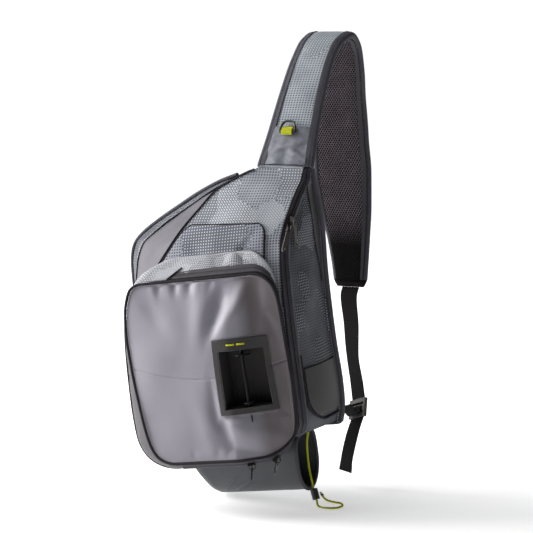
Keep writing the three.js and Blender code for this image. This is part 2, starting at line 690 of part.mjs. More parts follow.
// Well behind the window: four cloth walls and a back, open towards the face
const wellGrow = wellWall + seamGap;
const wellBox = {
  left: windowOpening.left - wellGrow,
  right: windowOpening.right + wellGrow,
  bottom: windowOpening.bottom - wellGrow,
  top: windowOpening.top + wellGrow,
};
const wellFront = onFace(tiltedGrid(boxGrid(wellBox, 5, 8)), clothThickness + 3 * seamGap);
const wellLimit = (x, z) => frontY(x, z) - backOfPocket - pocketBackThickness - seamGap;
const wellBackAt = (p, offset) => p.clone().setY(Math.min(p.y + wellDepth, wellLimit(p.x, p.z)) - offset);
const wellBack = wellFront.map((row) => row.map((p) => wellBackAt(p, 0)));
const wellHollow = block(
  point(windowOpening.left - seamGap, -pocketBottomDepth - 40, windowOpening.bottom - seamGap),
  point(windowOpening.right + seamGap, -bodyDepth + 40, windowOpening.top + seamGap),
).applyMatrix4(tiltMatrix);
const wellKeep = slab(
  wellFront.map((row) => row.map((p) => p.clone().setY(p.y - 30))),
  wellFront.map((row) => row.map((p) => wellBackAt(p, wellWall))),
);
const hollowTool = toGeometry(toSolid(wellHollow).intersect(toSolid(wellKeep)));
piece("spool_well", cut(slab(wellFront, wellBack), hollowTool), "charcoal");

// Post with a disc at each end of the stack, leaning with the face
const postAt = (z) => point(tilted(postX, z), faceY(tilted(postX, z), z) + postSetBack, z);
const postBottom = windowOpening.bottom + seamGap;
const postTop = windowOpening.top - seamGap;
const postFoot = postAt(postBottom);
const postHead = postAt(postTop);
const postAxis = postHead.clone().sub(postFoot);
const alongPost = (geometry, distance) => {
  const spin = new THREE.Quaternion().setFromUnitVectors(new THREE.Vector3(0, 1, 0), postAxis.clone().normalize());
  const place = postFoot.clone().addScaledVector(postAxis.clone().normalize(), distance);
  return geometry.applyMatrix4(new THREE.Matrix4().compose(place, spin, new THREE.Vector3(1, 1, 1)));
};
const postLength = postAxis.length();
const disc = () => new THREE.CylinderGeometry(postDiscRadius, postDiscRadius, postDiscThickness, 14);
piece(
  "tippet_post",
  join(
    alongPost(new THREE.CylinderGeometry(postRadius, postRadius, postLength, 10), postLength / 2),
    alongPost(disc(), 4),
    alongPost(disc(), postLength - 8),
  ),
  "hardPlastic",
);

// Bungee that holds the post: two short runs of it show on the frame's top band
const bungeeZ = windowOpening.top + windowFrameBorder.top * 0.55;
const bungeeRun = (from, to) => {
  const lift = frameLift + windowFrameThickness + 2 * seamGap + bungeeRadius;
  const at = (x) => point(tilted(x, bungeeZ), faceY(tilted(x, bungeeZ), bungeeZ) - lift, bungeeZ);
  return bead(range(3).map((k) => at(lerp(from, to, k / 2))), bungeeRadius, 6, 4);
};
piece("tippet_bungee_left", bungeeRun(postX - 12, postX - 2), "yellow");
piece("tippet_bungee_right", bungeeRun(postX + 1.5, postX + 11), "yellow");

// The bottle sleeve: round below, squarer above where it meets the floor of the bag

function sleeveRing(share, radius) {
  return range(20).map((k) => {
    const turn = ((k + 0.5) / 20) * 2 * Math.PI;
    const [across, high] = [Math.cos(turn), Math.sin(turn)];
    const power = high > 0 ? 4 : 2;
    const size = radius / (Math.abs(across) ** power + Math.abs(high) ** power) ** (1 / power);
    const z = sleeveRadius + size * high;
    const closedEnd = sleeveEndBottom - sleeveEndReach * (z / (2 * sleeveRadius)) ** 1.5;
    return point(lerp(sleeveMouth, closedEnd, share), sleeveMiddle + size * across, z);
  });
}
const sleeveOuter = loft([
  ...[0, 0.25, 0.5, 0.75, 0.93].map((share) => sleeveRing(share, sleeveRadius)),
  sleeveRing(0.985, sleeveRadius * 0.93),
  sleeveRing(1, sleeveRadius * 0.8),
]);
const sleeveInner = loft([
  ...[-0.1, 0.25, 0.5, 0.75, 0.9].map((share) => sleeveRing(share, sleeveRadius - sleeveWall)),
  sleeveRing(0.96, sleeveRadius * 0.86),
]);
piece("bottle_sleeve", cut(sleeveOuter, sleeveInner), "sleeveCloth");

const mouthOffset = mouthBindingRadius + seamGap;
const mouthPath = sleeveRing(0, sleeveRadius - sleeveWall / 2).map((p) => p.setX(p.x + mouthOffset));
piece("sleeve_mouth_binding", bead(mouthPath, mouthBindingRadius, 5, 26, true), "binding");

// Fly patch and its piping, on the side wall

function patchEdge(rise) {
  const over = patchBottom + patchCorner - rise;
  const share = over > 0 ? Math.sqrt(Math.max(patchCorner ** 2 - over ** 2, 0)) / patchCorner : 1;
  return lerp(patchFront + 0.34, patchFront, share);
}
const patchRises = [0, 0.04, 0.12, 0.25, 0.5, 0.75, 1].map((share) => lerp(patchBottom, patchTop, share));
const patchGrid = (out) =>
  patchRises.map((rise) => range(7).map((c) => wallPoint("side", rise, lerp(patchEdge(rise), patchRear, c / 6), -out)));
piece("fly_patch", slab(patchGrid(seamGap + patchThickness), patchGrid(seamGap)), "charcoal");

const patchPipingRadius = 1.6;
const patchPipingLift = patchPipingRadius + 2 * seamGap;
const patchPiping = [
  ...[0.3, 0.25, 0.2, 0.14, 0.1, 0.07].map((rise) =>
    wallPoint("side", rise, Math.max(patchEdge(rise) - 0.06, 0.02), -patchPipingLift),
  ),
  ...[0.45, 0.62, 0.8, 0.95].map((share) => wallPoint("side", 0.032, share, -patchPipingLift)),
];
piece("fly_patch_piping", bead(patchPiping, patchPipingRadius, 6, 18), "darkTape");

// The shoulder strap, in the standing frame

const strapKeys = strapRows.map((row, i) => ({ ...row, place: i / (strapRows.length - 1) }));
const strapValue = (name, place) => column(strapKeys, "place", name, place);
const topOfBag = toStanding(point(topMiddle, 0, wallZ(1, topMiddle) + clothThickness + 2 * seamGap)).z;
const firstRise = (strapRows[1].up - strapRows[0].up) * (strapApex - topOfBag);
const firstTilt = Math.atan2((strapRows[1].along - strapRows[0].along) * strapReach, firstRise);
const strapInside = strapPadThickness / 2 + seamGap + strapLiningThickness;
const topPanelBack = -section(1, "back") * bodyDepth - backPadThickness;
const overhang = strapStartY + strapInside * Math.cos(firstTilt) - topPanelBack;
const strapFoot = topOfBag + strapInside * Math.sin(firstTilt) - overhang * Math.tan(firstTilt);
const strapCentre = (place) => {
  const y = strapStartY + strapValue("along", place) * strapReach;
  return point(0, y, lerp(strapFoot, strapApex, strapValue("up", place)));
};

// A point of the strap: share runs across it from left to right, and out is away from the wearer.
function strapPoint(place, share, out, edgeTrim = 0) {
  const centre = strapCentre(place);
  const step = 0.004;
  const ahead = strapCentre(Math.min(place + step, 1));
  const along = ahead.sub(strapCentre(Math.max(place - step, 0))).normalize();
  const normal = point(0, -along.z, along.y);
  const left = strapValue("left", place) * strapWidth + edgeTrim;
  const right = strapValue("right", place) * strapWidth - edgeTrim;
  return centre.addScaledVector(normal, out).setX(lerp(left, right, share));
}

const strapPlaces = (from, to, steps) => range(steps + 1).map((k) => lerp(from, to, k / steps));
const strapLayer = (from, to, steps, shares, out, edgeTrim) =>
  strapPlaces(from, to, steps).map((place) => shares.map((share) => strapPoint(place, share, out(share), edgeTrim)));
const padShares = [0, 0.17, 0.5, 0.83, 1];
const padTrim = 2 * strapBindingRadius + 2 * seamGap;
const padCrown = (share) => 1 - 0.28 * Math.abs(2 * share - 1) ** 4;
const padStart = 0;
const padEnd = 0.975;
piece(
  "strap_pad",
  slab(
    strapLayer(padStart, padEnd, strapSteps, padShares, (share) => (padCrown(share) * strapPadThickness) / 2, padTrim),
    strapLayer(padStart, padEnd, strapSteps, padShares, (share) => (-padCrown(share) * strapPadThickness) / 2, padTrim),
  ),
  "dotCloth",
  standing,
);

const liningTop = (share) => (-padCrown(share) * strapPadThickness) / 2 - seamGap;
const liningFoot = (share) => liningTop(share) - strapLiningThickness;
piece(
  "strap_lining",
  slab(
    strapLayer(padStart, padEnd, strapSteps, padShares, liningTop, padTrim + 1),
    strapLayer(padStart, padEnd, strapSteps, padShares, liningFoot, padTrim + 1),
  ),
  "padMesh",
  standing,
);

const strapBinding = (share) =>
  strapPlaces(padStart, padEnd, strapSteps).map((place) => strapPoint(place, share, 0, strapBindingRadius));
piece("strap_binding_left", bead(strapBinding(0), strapBindingRadius, 6, 30), "binding", standing);
piece("strap_binding_right", bead(strapBinding(1), strapBindingRadius, 6, 30), "binding", standing);

// Plain patch at the foot of the strap, with the ring's loop above it
const patchTopPlace = 0.08;
const patchOut = (share) => (padCrown(share) * strapPadThickness) / 2 + seamGap;
piece(
  "strap_patch",
  slab(
    strapLayer(0.002, patchTopPlace, 4, padShares, (share) => patchOut(share) + 1, padTrim + 1),
    strapLayer(0.002, patchTopPlace, 4, padShares, patchOut, padTrim + 1),
  ),
  "coatedCloth",
  standing,
);

// A flat band along a route: rows of its middle and of the way that its width runs.
function band(points, acrosses, width, thickness, columns = 2) {
  const side = (sign) =>
    points.map((p, i) => {
      const along = points[Math.min(i + 1, points.length - 1)].clone().sub(points[Math.max(i - 1, 0)]).normalize();
      const across = acrosses[i].clone().normalize();
      const normal = point().crossVectors(along, across).normalize();
      return range(columns + 1).map((k) =>
        p
          .clone()
          .addScaledVector(across, (k / columns - 0.5) * width)
          .addScaledVector(normal, (sign * thickness) / 2),
      );
    });
  return slab(side(1), side(-1));
}

// Yellow tab: it leaves the patch's top seam, goes down under the ring's bar and comes back over it.
const tabFloor = patchOut(0.5) + 1 + seamGap + tabThickness / 2;
const foldRadius = ringWire + 2 * seamGap + tabThickness / 2;
const barCentre = strapPoint(tabPlace, 0.5, tabFloor + foldRadius).setX(tabX);
const strapUp = strapCentre(tabPlace + 0.01).sub(strapCentre(tabPlace - 0.01)).normalize();
const strapOut = point(0, -strapUp.z, strapUp.y);
const onStrap = (rise, out) => barCentre.clone().addScaledVector(strapUp, rise).addScaledVector(strapOut, out);
const tabPath = [
  onStrap(tabRise, -foldRadius),
  onStrap(tabRise / 2, -foldRadius),
  ...range(7).map((k) => {
    const turn = lerp(-90, -270, k / 6) * degree;
    return onStrap(foldRadius * Math.cos(turn), foldRadius * Math.sin(turn));
  }),
  onStrap(tabRise * 0.45, foldRadius * 0.7),
  onStrap(tabRise, -foldRadius + tabThickness + seamGap),
];
const acrossX = (points) => points.map(() => point(1, 0, 0));
piece("strap_tab", band(tabPath, acrossX(tabPath), tabWidth, tabThickness), "yellow", standing);

// The ring: a straight bar in the fold and an arch that is turned up along the strap
const half = ringOpening.width / 2 + ringWire;
const archHeight = ringOpening.height + 2 * ringWire;
const ringPath = [
  ...[-1, -0.8, -0.3, 0.3, 0.8, 1].map((share) => onStrap(0, 0).setX(tabX + half * share)),
  ...range(7).map((k) => {
    const turn = lerp(12, 168, k / 6) * degree;
    const reach = Math.sign(Math.cos(turn)) * Math.abs(Math.cos(turn)) ** 0.6;
    return onStrap(archHeight * Math.sin(turn), 0).setX(tabX + half * 1.02 * reach);
  }),
];
piece("d_ring", bead(ringPath, ringWire, 6, 26, true), "hardPlastic", standing);

// Mesh-lined end of the strap, closed round the webbing
const endPlaces = range(5).map((k) => lerp(padEnd + 0.0012, 1, k / 4));
const endWall = 2;
const endLayer = (out) =>
  endPlaces.map((place) =>
    range(5).map((k) => {
      const narrow = lerp(1, 0.82, (place - endPlaces[0]) / (1 - endPlaces[0]));
      return strapPoint(place, 0.5 + (k / 4 - 0.5) * narrow, out);
    }),
  );
piece("strap_end", slab(endLayer(endWall + 1.2), endLayer(-endWall - 1.2)), "webbing", standing);

// Upper webbing, lock, tail and the tab that ties the lock to the bag
const routePoints = (rows) => rows.map(({ x, y, z }) => point(x, y, z));
const routeAcross = (rows) => rows.map((row) => point(row.acrossX, row.acrossY, 0));
function smoothRoute(points, acrossRows, steps) {
  const curve = new THREE.CatmullRomCurve3(points, false, "centripetal");
  const acrosses = new THREE.CatmullRomCurve3(acrossRows, false, "centripetal");
  const shares = range(steps + 1).map((k) => k / steps);
  return [shares.map((t) => curve.getPoint(t)), shares.map((t) => acrosses.getPoint(t))];
}

const webPoints = [strapPoint(1, 0.5, 0), ...routePoints(webRoute)];
webPoints[0].z -= 2 * seamGap;
const tailPoints = routePoints(tailRoute);
const lockTop = webPoints.at(-1).clone();
const lockFoot = tailPoints[0].clone();
const lockAlong = lockFoot.clone().sub(lockTop).normalize();
const lockAcross = routeAcross(webRoute).at(-1);
lockAcross.addScaledVector(lockAlong, -lockAcross.dot(lockAlong)).normalize();
const lockNormal = point().crossVectors(lockAcross, lockAlong);
const lockMiddle = lockTop.clone().lerp(lockFoot, 0.5);
const lockPlace = new THREE.Matrix4().makeBasis(lockAcross, lockAlong, lockNormal).setPosition(lockMiddle);
const lockBlock = (x, y, z, high) => new THREE.BoxGeometry(x, y, z).translate(0, high, 0);
const lockHoles = [-1, 1].map((side) => lockBlock(webWidth + 1.4, lockSlot, 2 * lockThickness, side * 5.8));
const lockBody = cut(lockBlock(lockWidth, lockLength, lockThickness, 0), ...lockHoles);
piece("ladder_lock", lockBody.applyMatrix4(lockPlace), "hardPlastic", standing);

webPoints.at(-1).copy(lockMiddle).addScaledVector(lockAlong, -lockLength / 2 - seamGap);
tailPoints[0].copy(lockMiddle).addScaledVector(lockAlong, lockLength / 2 + seamGap);
const webAcross = [point(1, 0, 0), ...routeAcross(webRoute).slice(0, -1), lockAcross];
const tailAcross = [lockAcross, ...routeAcross(tailRoute).slice(1)];
piece("upper_webbing", band(...smoothRoute(webPoints, webAcross, 15), webWidth, webThickness), "webbing", standing);
piece("webbing_tail", band(...smoothRoute(tailPoints, tailAcross, 8), webWidth, webThickness), "webbing", standing);

const seam = toStanding(bindingAt(0.05, 1, 1));
const lockSide = Math.sign(lockNormal.dot(point().subVectors(seam, lockMiddle)));
const lockTabThickness = 1.6;
const lockBackOut = lockThickness / 2 + seamGap + lockTabThickness / 2;
const onLockBack = (along, out) =>
  lockMiddle.clone().addScaledVector(lockAlong, along).addScaledVector(lockNormal, lockSide * (lockBackOut + out));
const lockBack = onLockBack(0, 0);
const tabReach = point().subVectors(lockBack, seam);
const lockTab = [
  seam.clone().addScaledVector(tabReach.clone().normalize(), bindingRadius + seamGap + 3.4),
  onLockBack(11, 3),
  onLockBack(6, 0),
  onLockBack(-2, 0),
];
piece("lock_tab", band(lockTab, lockTab.map(() => lockAcross.clone()), webWidth * 0.8, lockTabThickness), "webbing", standing);

// Zip sliders

// One slider on a zip: out is away from the tape, along is the zip's way, and pullWay is the way its pull points.
function slider(name, at, out, along, pullWay, pullLength) {
  const across = point().crossVectors(along, out).normalize();
  const n = point().crossVectors(across, along).normalize();
  const place = new THREE.Matrix4().makeBasis(across, along, n).setPosition(at);
  const { width, length, height } = sliderBody;
  const base = new THREE.BoxGeometry(width, length, height).translate(0, 0, seamGap + height / 2);
  const { wire, start, end, top, bar } = bridge;
  const arch = bead(
    [
      point(0, start, seamGap + 1.5),
      point(0, start, top - 1.6),
      point(0, start + 1.2, top),
      point(0, end - 1.2, top),
      point(0, end, top - 1.6),
      point(0, end, seamGap + 1.5),
    ],
    wire,
    5,
    9,
  );
  piece(name, join(base, arch).applyMatrix4(place), "metal", standing);

  const hinge = at.clone().addScaledVector(n, bar);
  const way = pullWay.clone().addScaledVector(across, -pullWay.dot(across)).normalize();
  const face = point().crossVectors(across, way);
  const pullPlace = new THREE.Matrix4().makeBasis(across, way, face).setPosition(hinge);
  const { thickness, eyeWidth, eyeLength, barWidth } = pullPlate;
  const outline = new THREE.Shape();
  const side = pullPlate.width / 2;
  outline.moveTo(-side, -barWidth / 2);
  outline.lineTo(side, -barWidth / 2);
  outline.lineTo(side, eyeLength + barWidth * 1.5);
  outline.lineTo(side * 0.72, pullLength - 2.4);
  outline.lineTo(side * 0.35, pullLength);
  outline.lineTo(-side * 0.35, pullLength);
  outline.lineTo(-side * 0.72, pullLength - 2.4);
  outline.lineTo(-side, eyeLength + barWidth * 1.5);
  outline.closePath();
  const hole = (halfWidth, from, to) =>
    new THREE.Path([
      new THREE.Vector2(-halfWidth, from),
      new THREE.Vector2(-halfWidth, to),
      new THREE.Vector2(halfWidth, to),
      new THREE.Vector2(halfWidth, from),
    ]);
  outline.holes.push(hole(eyeWidth / 2, barWidth / 2, barWidth / 2 + eyeLength));
  outline.holes.push(hole(1.2, pullLength - 6.5, pullLength - 2.5));
  const plate = new THREE.ExtrudeGeometry(outline, { depth: thickness, bevelEnabled: false });
  plate.translate(0, 0, -thickness / 2);
  piece(name + "_pull", plate, "metal", standing).applyMatrix4(pullPlace);
}

// The main zip's sliders: rise along the zip, how far each is turned to the side and tilted along it, and the
// angle at which its pull lies on the cloth, in degrees
const mainSliders = [
  { name: "main_slider_upper", rise: 0.807, turn: 24, tilt: 26, rest: 9 },
  { name: "main_slider_lower", rise: 0.774, turn: -8, tilt: -4, rest: 5 },
];
for (const { name, rise, turn, tilt, rest } of mainSliders) {
  const at = toStanding(wallPoint("zip", rise, 0.5));
  const above = toStanding(wallPoint("zip", rise + 0.02, 0.5));
  const beside = toStanding(wallPoint("zip", rise, 0.9));
  const along = at.clone().sub(above).normalize();
  const out = point().crossVectors(above.clone().sub(at), beside.clone().sub(at)).normalize();
  if (out.y > 0) out.negate();
  out.applyAxisAngle(along, -turn * degree);
  along.applyAxisAngle(out, tilt * degree);
  const pullWay = along.clone().addScaledVector(out, Math.tan(rest * degree));
  slider(name, at.addScaledVector(out, 2.6), out, along, pullWay, longPull);
}

// The pocket zip's sliders, under the pocket, with their pulls hanging. Each is at a point of the gusset's edge.
const pocketSliders = [
  { name: "pocket_slider_left", edgePoint: 8 },
  { name: "pocket_slider_right", edgePoint: 10 },
];
for (const { name, edgePoint: i } of pocketSliders) {
  const at = toStanding(gussetPoint(i, 0.82, zipLift + 1));
  const beside = toStanding(gussetPoint(i + 1, 0.82, zipLift + 1));
  const deeper = toStanding(gussetPoint(i, 0.7, zipLift + 1));
  const along = beside.sub(at).normalize();
  const out = point().crossVectors(along, deeper.sub(at)).normalize();
  if (out.z > 0) out.negate();
  slider(name, at, out, along, point(0, 0, -1), shortPull);
}

// The shock cord with its lock and its tip

const onGround = ({ x, y }) => point(x, y, ground + cordRadius);
const cordStart = toStanding(point(cordExit.x, cordExit.y, floorBottom - 2 * seamGap));
const dropPoints = [cordStart, ...cordDrop.map(({ x, y, z }) => point(x, y, z))];
const loopPoints = cordLoop.map(onGround);
const lockAt = dropPoints.at(-1).clone().lerp(loopPoints[0], 0.45);
const lockWay = loopPoints[0].clone().sub(dropPoints.at(-1)).normalize();
const inLock = [-0.55, 0.55].map((share) => lockAt.clone().addScaledVector(lockWay, share * cordLockSize.length));
const cordPath = [...dropPoints.slice(0, -1), ...inLock, ...loopPoints];
piece("retention_cord", bead(cordPath, cordRadius, 5, 37), "yellow", standing);

function rod(from, way, length, radius, bore, sides) {
  const spin = new THREE.Quaternion().setFromUnitVectors(new THREE.Vector3(0, 1, 0), way);
  const place = new THREE.Matrix4().compose(from, spin, new THREE.Vector3(1, 1, 1));
  const outer = new THREE.CylinderGeometry(radius, radius, length, sides);
  return cut(outer, new THREE.CylinderGeometry(bore, bore, 3 * length, 12)).applyMatrix4(place);
}
const cordBore = cordRadius + seamGap;
const { radius: cordLockRadius, length: cordLockLength } = cordLockSize;
piece("cord_lock", rod(lockAt, lockWay, cordLockLength, cordLockRadius, cordBore, 16), "hardPlastic", standing);
const tipWay = loopPoints.at(-1).clone().sub(loopPoints.at(-2)).normalize();
const tipAt = loopPoints.at(-1).clone().addScaledVector(tipWay, cordTip.length / 2 + seamGap);
const tip = new THREE.CylinderGeometry(cordTip.radius * 0.8, cordTip.radius, cordTip.length, 10);
const tipSpin = new THREE.Quaternion().setFromUnitVectors(new THREE.Vector3(0, 1, 0), tipWay);
tip.applyQuaternion(tipSpin).translate(tipAt.x, tipAt.y, tipAt.z + cordTip.radius - cordRadius);
piece("cord_tip", tip, "hardPlastic", standing);

// Origin: under the top of the strap
const apexPlace = 5 / (strapRows.length - 1);
const shoulder = strapPoint(apexPlace, 0.5, -strapPadThickness / 2 - seamGap - strapLiningThickness);
standing.position.copy(shoulder).negate();

export default bag;
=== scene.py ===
# A fishing tackle sling bag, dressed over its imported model: printed and coated cloth, zips, a mesh strap.
# Lengths are millimetres in the bag's own frames, and become metres in the model's when a piece is made.
import math

import bmesh
import bpy
import numpy as np
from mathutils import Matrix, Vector


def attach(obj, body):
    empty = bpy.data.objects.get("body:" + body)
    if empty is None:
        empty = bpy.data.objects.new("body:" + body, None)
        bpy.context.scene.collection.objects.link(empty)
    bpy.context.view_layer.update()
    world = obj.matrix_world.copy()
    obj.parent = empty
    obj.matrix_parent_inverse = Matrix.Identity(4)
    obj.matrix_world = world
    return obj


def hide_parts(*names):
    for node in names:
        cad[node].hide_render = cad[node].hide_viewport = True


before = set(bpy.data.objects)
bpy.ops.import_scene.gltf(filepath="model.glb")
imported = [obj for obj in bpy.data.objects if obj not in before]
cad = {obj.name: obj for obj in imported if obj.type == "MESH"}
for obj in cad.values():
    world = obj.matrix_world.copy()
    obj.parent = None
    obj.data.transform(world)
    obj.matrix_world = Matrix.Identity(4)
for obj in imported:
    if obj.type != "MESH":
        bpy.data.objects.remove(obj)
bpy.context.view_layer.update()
print("frame loaded:", len(cad), "nodes")


# Reading tables, and the frames that the bag is laid out in

def hermite(t):  # weights of the start, its slope, the end and its slope
    return 2 * t**3 - 3 * t**2 + 1, t**3 - 2 * t**2 + t, 3 * t**2 - 2 * t**3, t**3 - t**2


class Table:
    def __init__(self, names, rows):
        self.names = names.split()
        self.rows = np.array(rows, float)

    def read(self, name, share):  # smooth, without overshoot
        xs, ys = self.rows[:, 0], self.rows[:, self.names.index(name)]
        slopes = np.diff(ys) / np.diff(xs)
        before, after = slopes[:-1], slopes[1:]
        sameWay = before * after > 0
        total = np.where(sameWay, before + after, 1)
        tangents = np.concatenate([slopes[:1], np.where(sameWay, 2 * before * after / total, 0), slopes[-1:]])
        share = np.asarray(share, float)
        i = np.clip(np.searchsorted(xs, share, side="right") - 1, 0, len(xs) - 2)
        span = xs[i + 1] - xs[i]
        t = np.clip((share - xs[i]) / span, 0, 1)
        here, hereSlope, there, thereSlope = hermite(t)
        start = here * ys[i] + hereSlope * span * tangents[i]
        return start + there * ys[i + 1] + thereSlope * span * tangents[i + 1]


body = {
    "width": 286,
    "height": 355,
    "depth": 115,
    "lean": math.radians(8),
    "leanAt": (-9, 4.2),
    "cloth": 2.2,
    "backPad": 9,
    "zipBand": 14,
    "zipTurn": math.radians(60),
    "wallBottom": 84.0,
    "floorBottom": 81.4,
    "seamGap": 0.4,
}
bodySections = Table(
    "rise backLeft backRight frontLeft frontRight depth back",
    [
        (0.0, -0.42, 0.455, -0.34, 0.365, 0.9, 0),
        (0.05, -0.47, 0.472, -0.357, 0.395, 0.97, 0),
        (0.15, -0.493, 0.477, -0.364, 0.402, 1.0, 0),
        (0.35, -0.507, 0.469, -0.364, 0.402, 1.0, 0),
        (0.55, -0.518, 0.471, -0.335, 0.402, 0.975, 0),
        (0.66, -0.512, 0.477, -0.24, 0.399, 0.905, 0),
        (0.73, -0.481, 0.484, -0.172, 0.4, 0.83, 0.01),
        (0.79, -0.365, 0.488, -0.112, 0.412, 0.73, 0.03),
        (0.86, -0.18, 0.49, -0.028, 0.434, 0.58, 0.06),
        (0.92, -0.012, 0.487, 0.05, 0.458, 0.46, 0.09),
        (0.96, 0.14, 0.486, 0.145, 0.478, 0.39, 0.11),
        (1.0, 0.25, 0.488, 0.26, 0.486, 0.35, 0.125),
    ],
)
strap = {
    "reach": 230,
    "apex": 633,
    "width": 82,
    "pad": 11,
    "lining": 1.6,
    "startY": -27,
    "padEnd": 0.975,
    "binding": 3.1,
}
strapRows = [
    (0.0, 0.000, -0.02, 0.96),
    (0.1, 0.234, 0.05, 0.94),
    (0.24, 0.518, 0.1, 0.92),
    (0.378, 0.791, 0.17, 0.94),
    (0.487, 0.948, 0.24, 1.02),
    (0.587, 1.000, 0.3, 1.11),
    (0.7, 0.922, 0.33, 1.13),
    (0.804, 0.709, 0.25, 1.11),
    (0.891, 0.440, 0.12, 1.07),
    (0.952, 0.145, 0.02, 1.07),
    (0.983, -0.158, 0.03, 1.1),
    (0.991, -0.449, 0.13, 1.1),
    (0.983, -0.718, 0.27, 1.085),
    (0.97, -0.953, 0.38, 1.07),
    (0.965, -1.144, 0.44, 1.05),
]
strapLast = len(strapRows) - 1
strapTable = Table("place along up left right", [(i / strapLast, *row) for i, row in enumerate(strapRows)])


def lerp(a, b, share):
    return a + (b - a) * share


def smooth(low, high, value):
    t = np.clip((np.asarray(value, float) - low) / (high - low), 0, 1)
    return t * t * (3 - 2 * t)


def unit(v):
    return v / np.maximum(np.linalg.norm(v, axis=-1, keepdims=True), 1e-9)


def toStanding(p):  # from the body's own leaning frame to the frame that stands on the floor
    p = np.asarray(p, float)
    c, s = math.cos(body["lean"]), math.sin(body["lean"])
    x = c * p[..., 0] - s * p[..., 2] + body["leanAt"][0]
    z = s * p[..., 0] + c * p[..., 2] + body["leanAt"][1]
    return np.stack([x, p[..., 1], z], -1)


def at(x, y, z):
    return np.stack(np.broadcast_arrays(np.asarray(x, float), y, z), -1)


# The body's walls

def section(name, rise):
    return bodySections.read(name, rise)


topMiddle = (section("backLeft", 1) + section("backRight", 1)) / 2 * body["width"]
leanSlope = math.tan(body["lean"])


def wallZ(rise, x):
    return body["wallBottom"] + rise * body["height"] - rise**4 * leanSlope * (x - topMiddle)


def riseAt(x, z):
    rise = np.full(np.broadcast(x, z).shape, 0.5)
    for _ in range(12):
        slant = np.clip(rise, 0, 1) ** 4 * leanSlope * (x - topMiddle)
        rise = (z - body["wallBottom"] + slant) / body["height"]
    return np.clip(rise, 0, 1)


def sectionCorners(rise, inset=0.0):
    rise = np.asarray(rise, float)
    front = -section("depth", rise) * body["depth"]
    back = -section("back", rise) * body["depth"] - body["backPad"] - body["seamGap"]
    names = ("backLeft", "frontLeft", "frontRight", "backRight")
    x = {name: section(name, rise) * body["width"] for name in names}
    zipX = x["frontRight"] + body["zipBand"] * math.cos(body["zipTurn"])
    zipY = front + body["zipBand"] * math.sin(body["zipTurn"])
    pairs = [(x["backLeft"], back), (x["frontLeft"], front), (x["frontRight"], front), (zipX, zipY),
             (x["backRight"], back)]
    corners = [np.stack(np.broadcast_arrays(*pair), -1) for pair in pairs]
    starts, ways = [], []
    for a, b in zip(corners, corners[1:]):
        way = unit(b - a)
        starts.append(a + np.stack([-way[..., 1], way[..., 0]], -1) * inset)
        ways.append(way)

    def meet(startA, wayA, startB, wayB):
        offset = startB - startA
        top = offset[..., 0] * wayB[..., 1] - offset[..., 1] * wayB[..., 0]
        under = wayA[..., 0] * wayB[..., 1] - wayA[..., 1] * wayB[..., 0]
        return startA + wayA * (top / under)[..., None]

    backStart = np.stack(np.broadcast_arrays(np.zeros_like(rise), back), -1)
    backWay = np.zeros_like(backStart) + np.array([1.0, 0.0])
    found = [meet(starts[0], ways[0], backStart, backWay)]
    found += [meet(starts[i], ways[i], starts[i + 1], ways[i + 1]) for i in range(3)]
    found.append(meet(starts[3], ways[3], backStart, backWay))
    return np.stack(found, -2)


walls = {"wing": (0, 3.0), "front": (1, 6.0), "zip": (2, 0.0), "side": (3, 4.0)}


def wallPoint(wall, rise, share, inset=0.0):
    index, bulge = walls[wall]
    rise, share = np.broadcast_arrays(np.asarray(rise, float), share)
    corners = sectionCorners(rise, inset)
    a, b = corners[..., index, :], corners[..., index + 1, :]
    way = unit(b - a)
    swell = bulge * np.sin(np.pi * np.clip(share, 0, 1)) * (1 - rise**6)
    x = lerp(a[..., 0], b[..., 0], share) + way[..., 1] * swell
    y = lerp(a[..., 1], b[..., 1], share) - way[..., 0] * swell
    return at(x, y, wallZ(rise, x))


def frontY(x, z):
    rise = riseAt(x, z)
    corners = sectionCorners(rise)
    left, right = corners[..., 1, :], corners[..., 2, :]
    share = np.clip((x - left[..., 0]) / (right[..., 0] - left[..., 0]), 0, 1)
    return left[..., 1] - walls["front"][1] * np.sin(np.pi * share) * (1 - rise**6)


def backPoint(rise, share, inset):
    rise, share = np.broadcast_arrays(np.asarray(rise, float), share)
    x = lerp(section("backLeft", rise), section("backRight", rise), share) * body["width"]
    return at(x, -section("back", rise) * body["depth"] - inset, wallZ(rise, x))


# The strap

topOfBag = toStanding(at(topMiddle, 0, wallZ(1, topMiddle) + body["cloth"] + 2 * body["seamGap"]))[2]
firstRise = (strapRows[1][1] - strapRows[0][1]) * (strap["apex"] - topOfBag)
firstTilt = math.atan2((strapRows[1][0] - strapRows[0][0]) * strap["reach"], firstRise)
strapInside = strap["pad"] / 2 + body["seamGap"] + strap["lining"]
topPanelBack = -section("back", 1) * body["depth"] - body["backPad"]
overhang = strap["startY"] + strapInside * math.cos(firstTilt) - topPanelBack
strapFoot = topOfBag + strapInside * math.sin(firstTilt) - overhang * math.tan(firstTilt)


def strapCentre(place):  # places below 0 carry it on into the top of the bag
    before = np.minimum(place, 0) * strapLast
    along = strapTable.read("along", place) + before * strapRows[1][0]
    up = strapTable.read("up", place) + before * strapRows[1][1]
    return at(0, strap["startY"] + along * strap["reach"], lerp(strapFoot, strap["apex"], up))


def strapPoint(place, share, out, trim=0.0):
    place, share, out = np.broadcast_arrays(np.asarray(place, float), share, out)
    centre = strapCentre(place)
    along = unit(strapCentre(np.minimum(place + 0.004, 1)) - strapCentre(place - 0.004))
    normal = at(0, -along[..., 2], along[..., 1])
    left = strapTable.read("left", place) * strap["width"] + trim
    right = strapTable.read("right", place) * strap["width"] - trim
    p = centre + normal * out[..., None]
    p[..., 0] = lerp(left, right, share)
    return p


apexRow = 5
shoulder = strapPoint(apexRow / strapLast, 0.5, -strapInside)


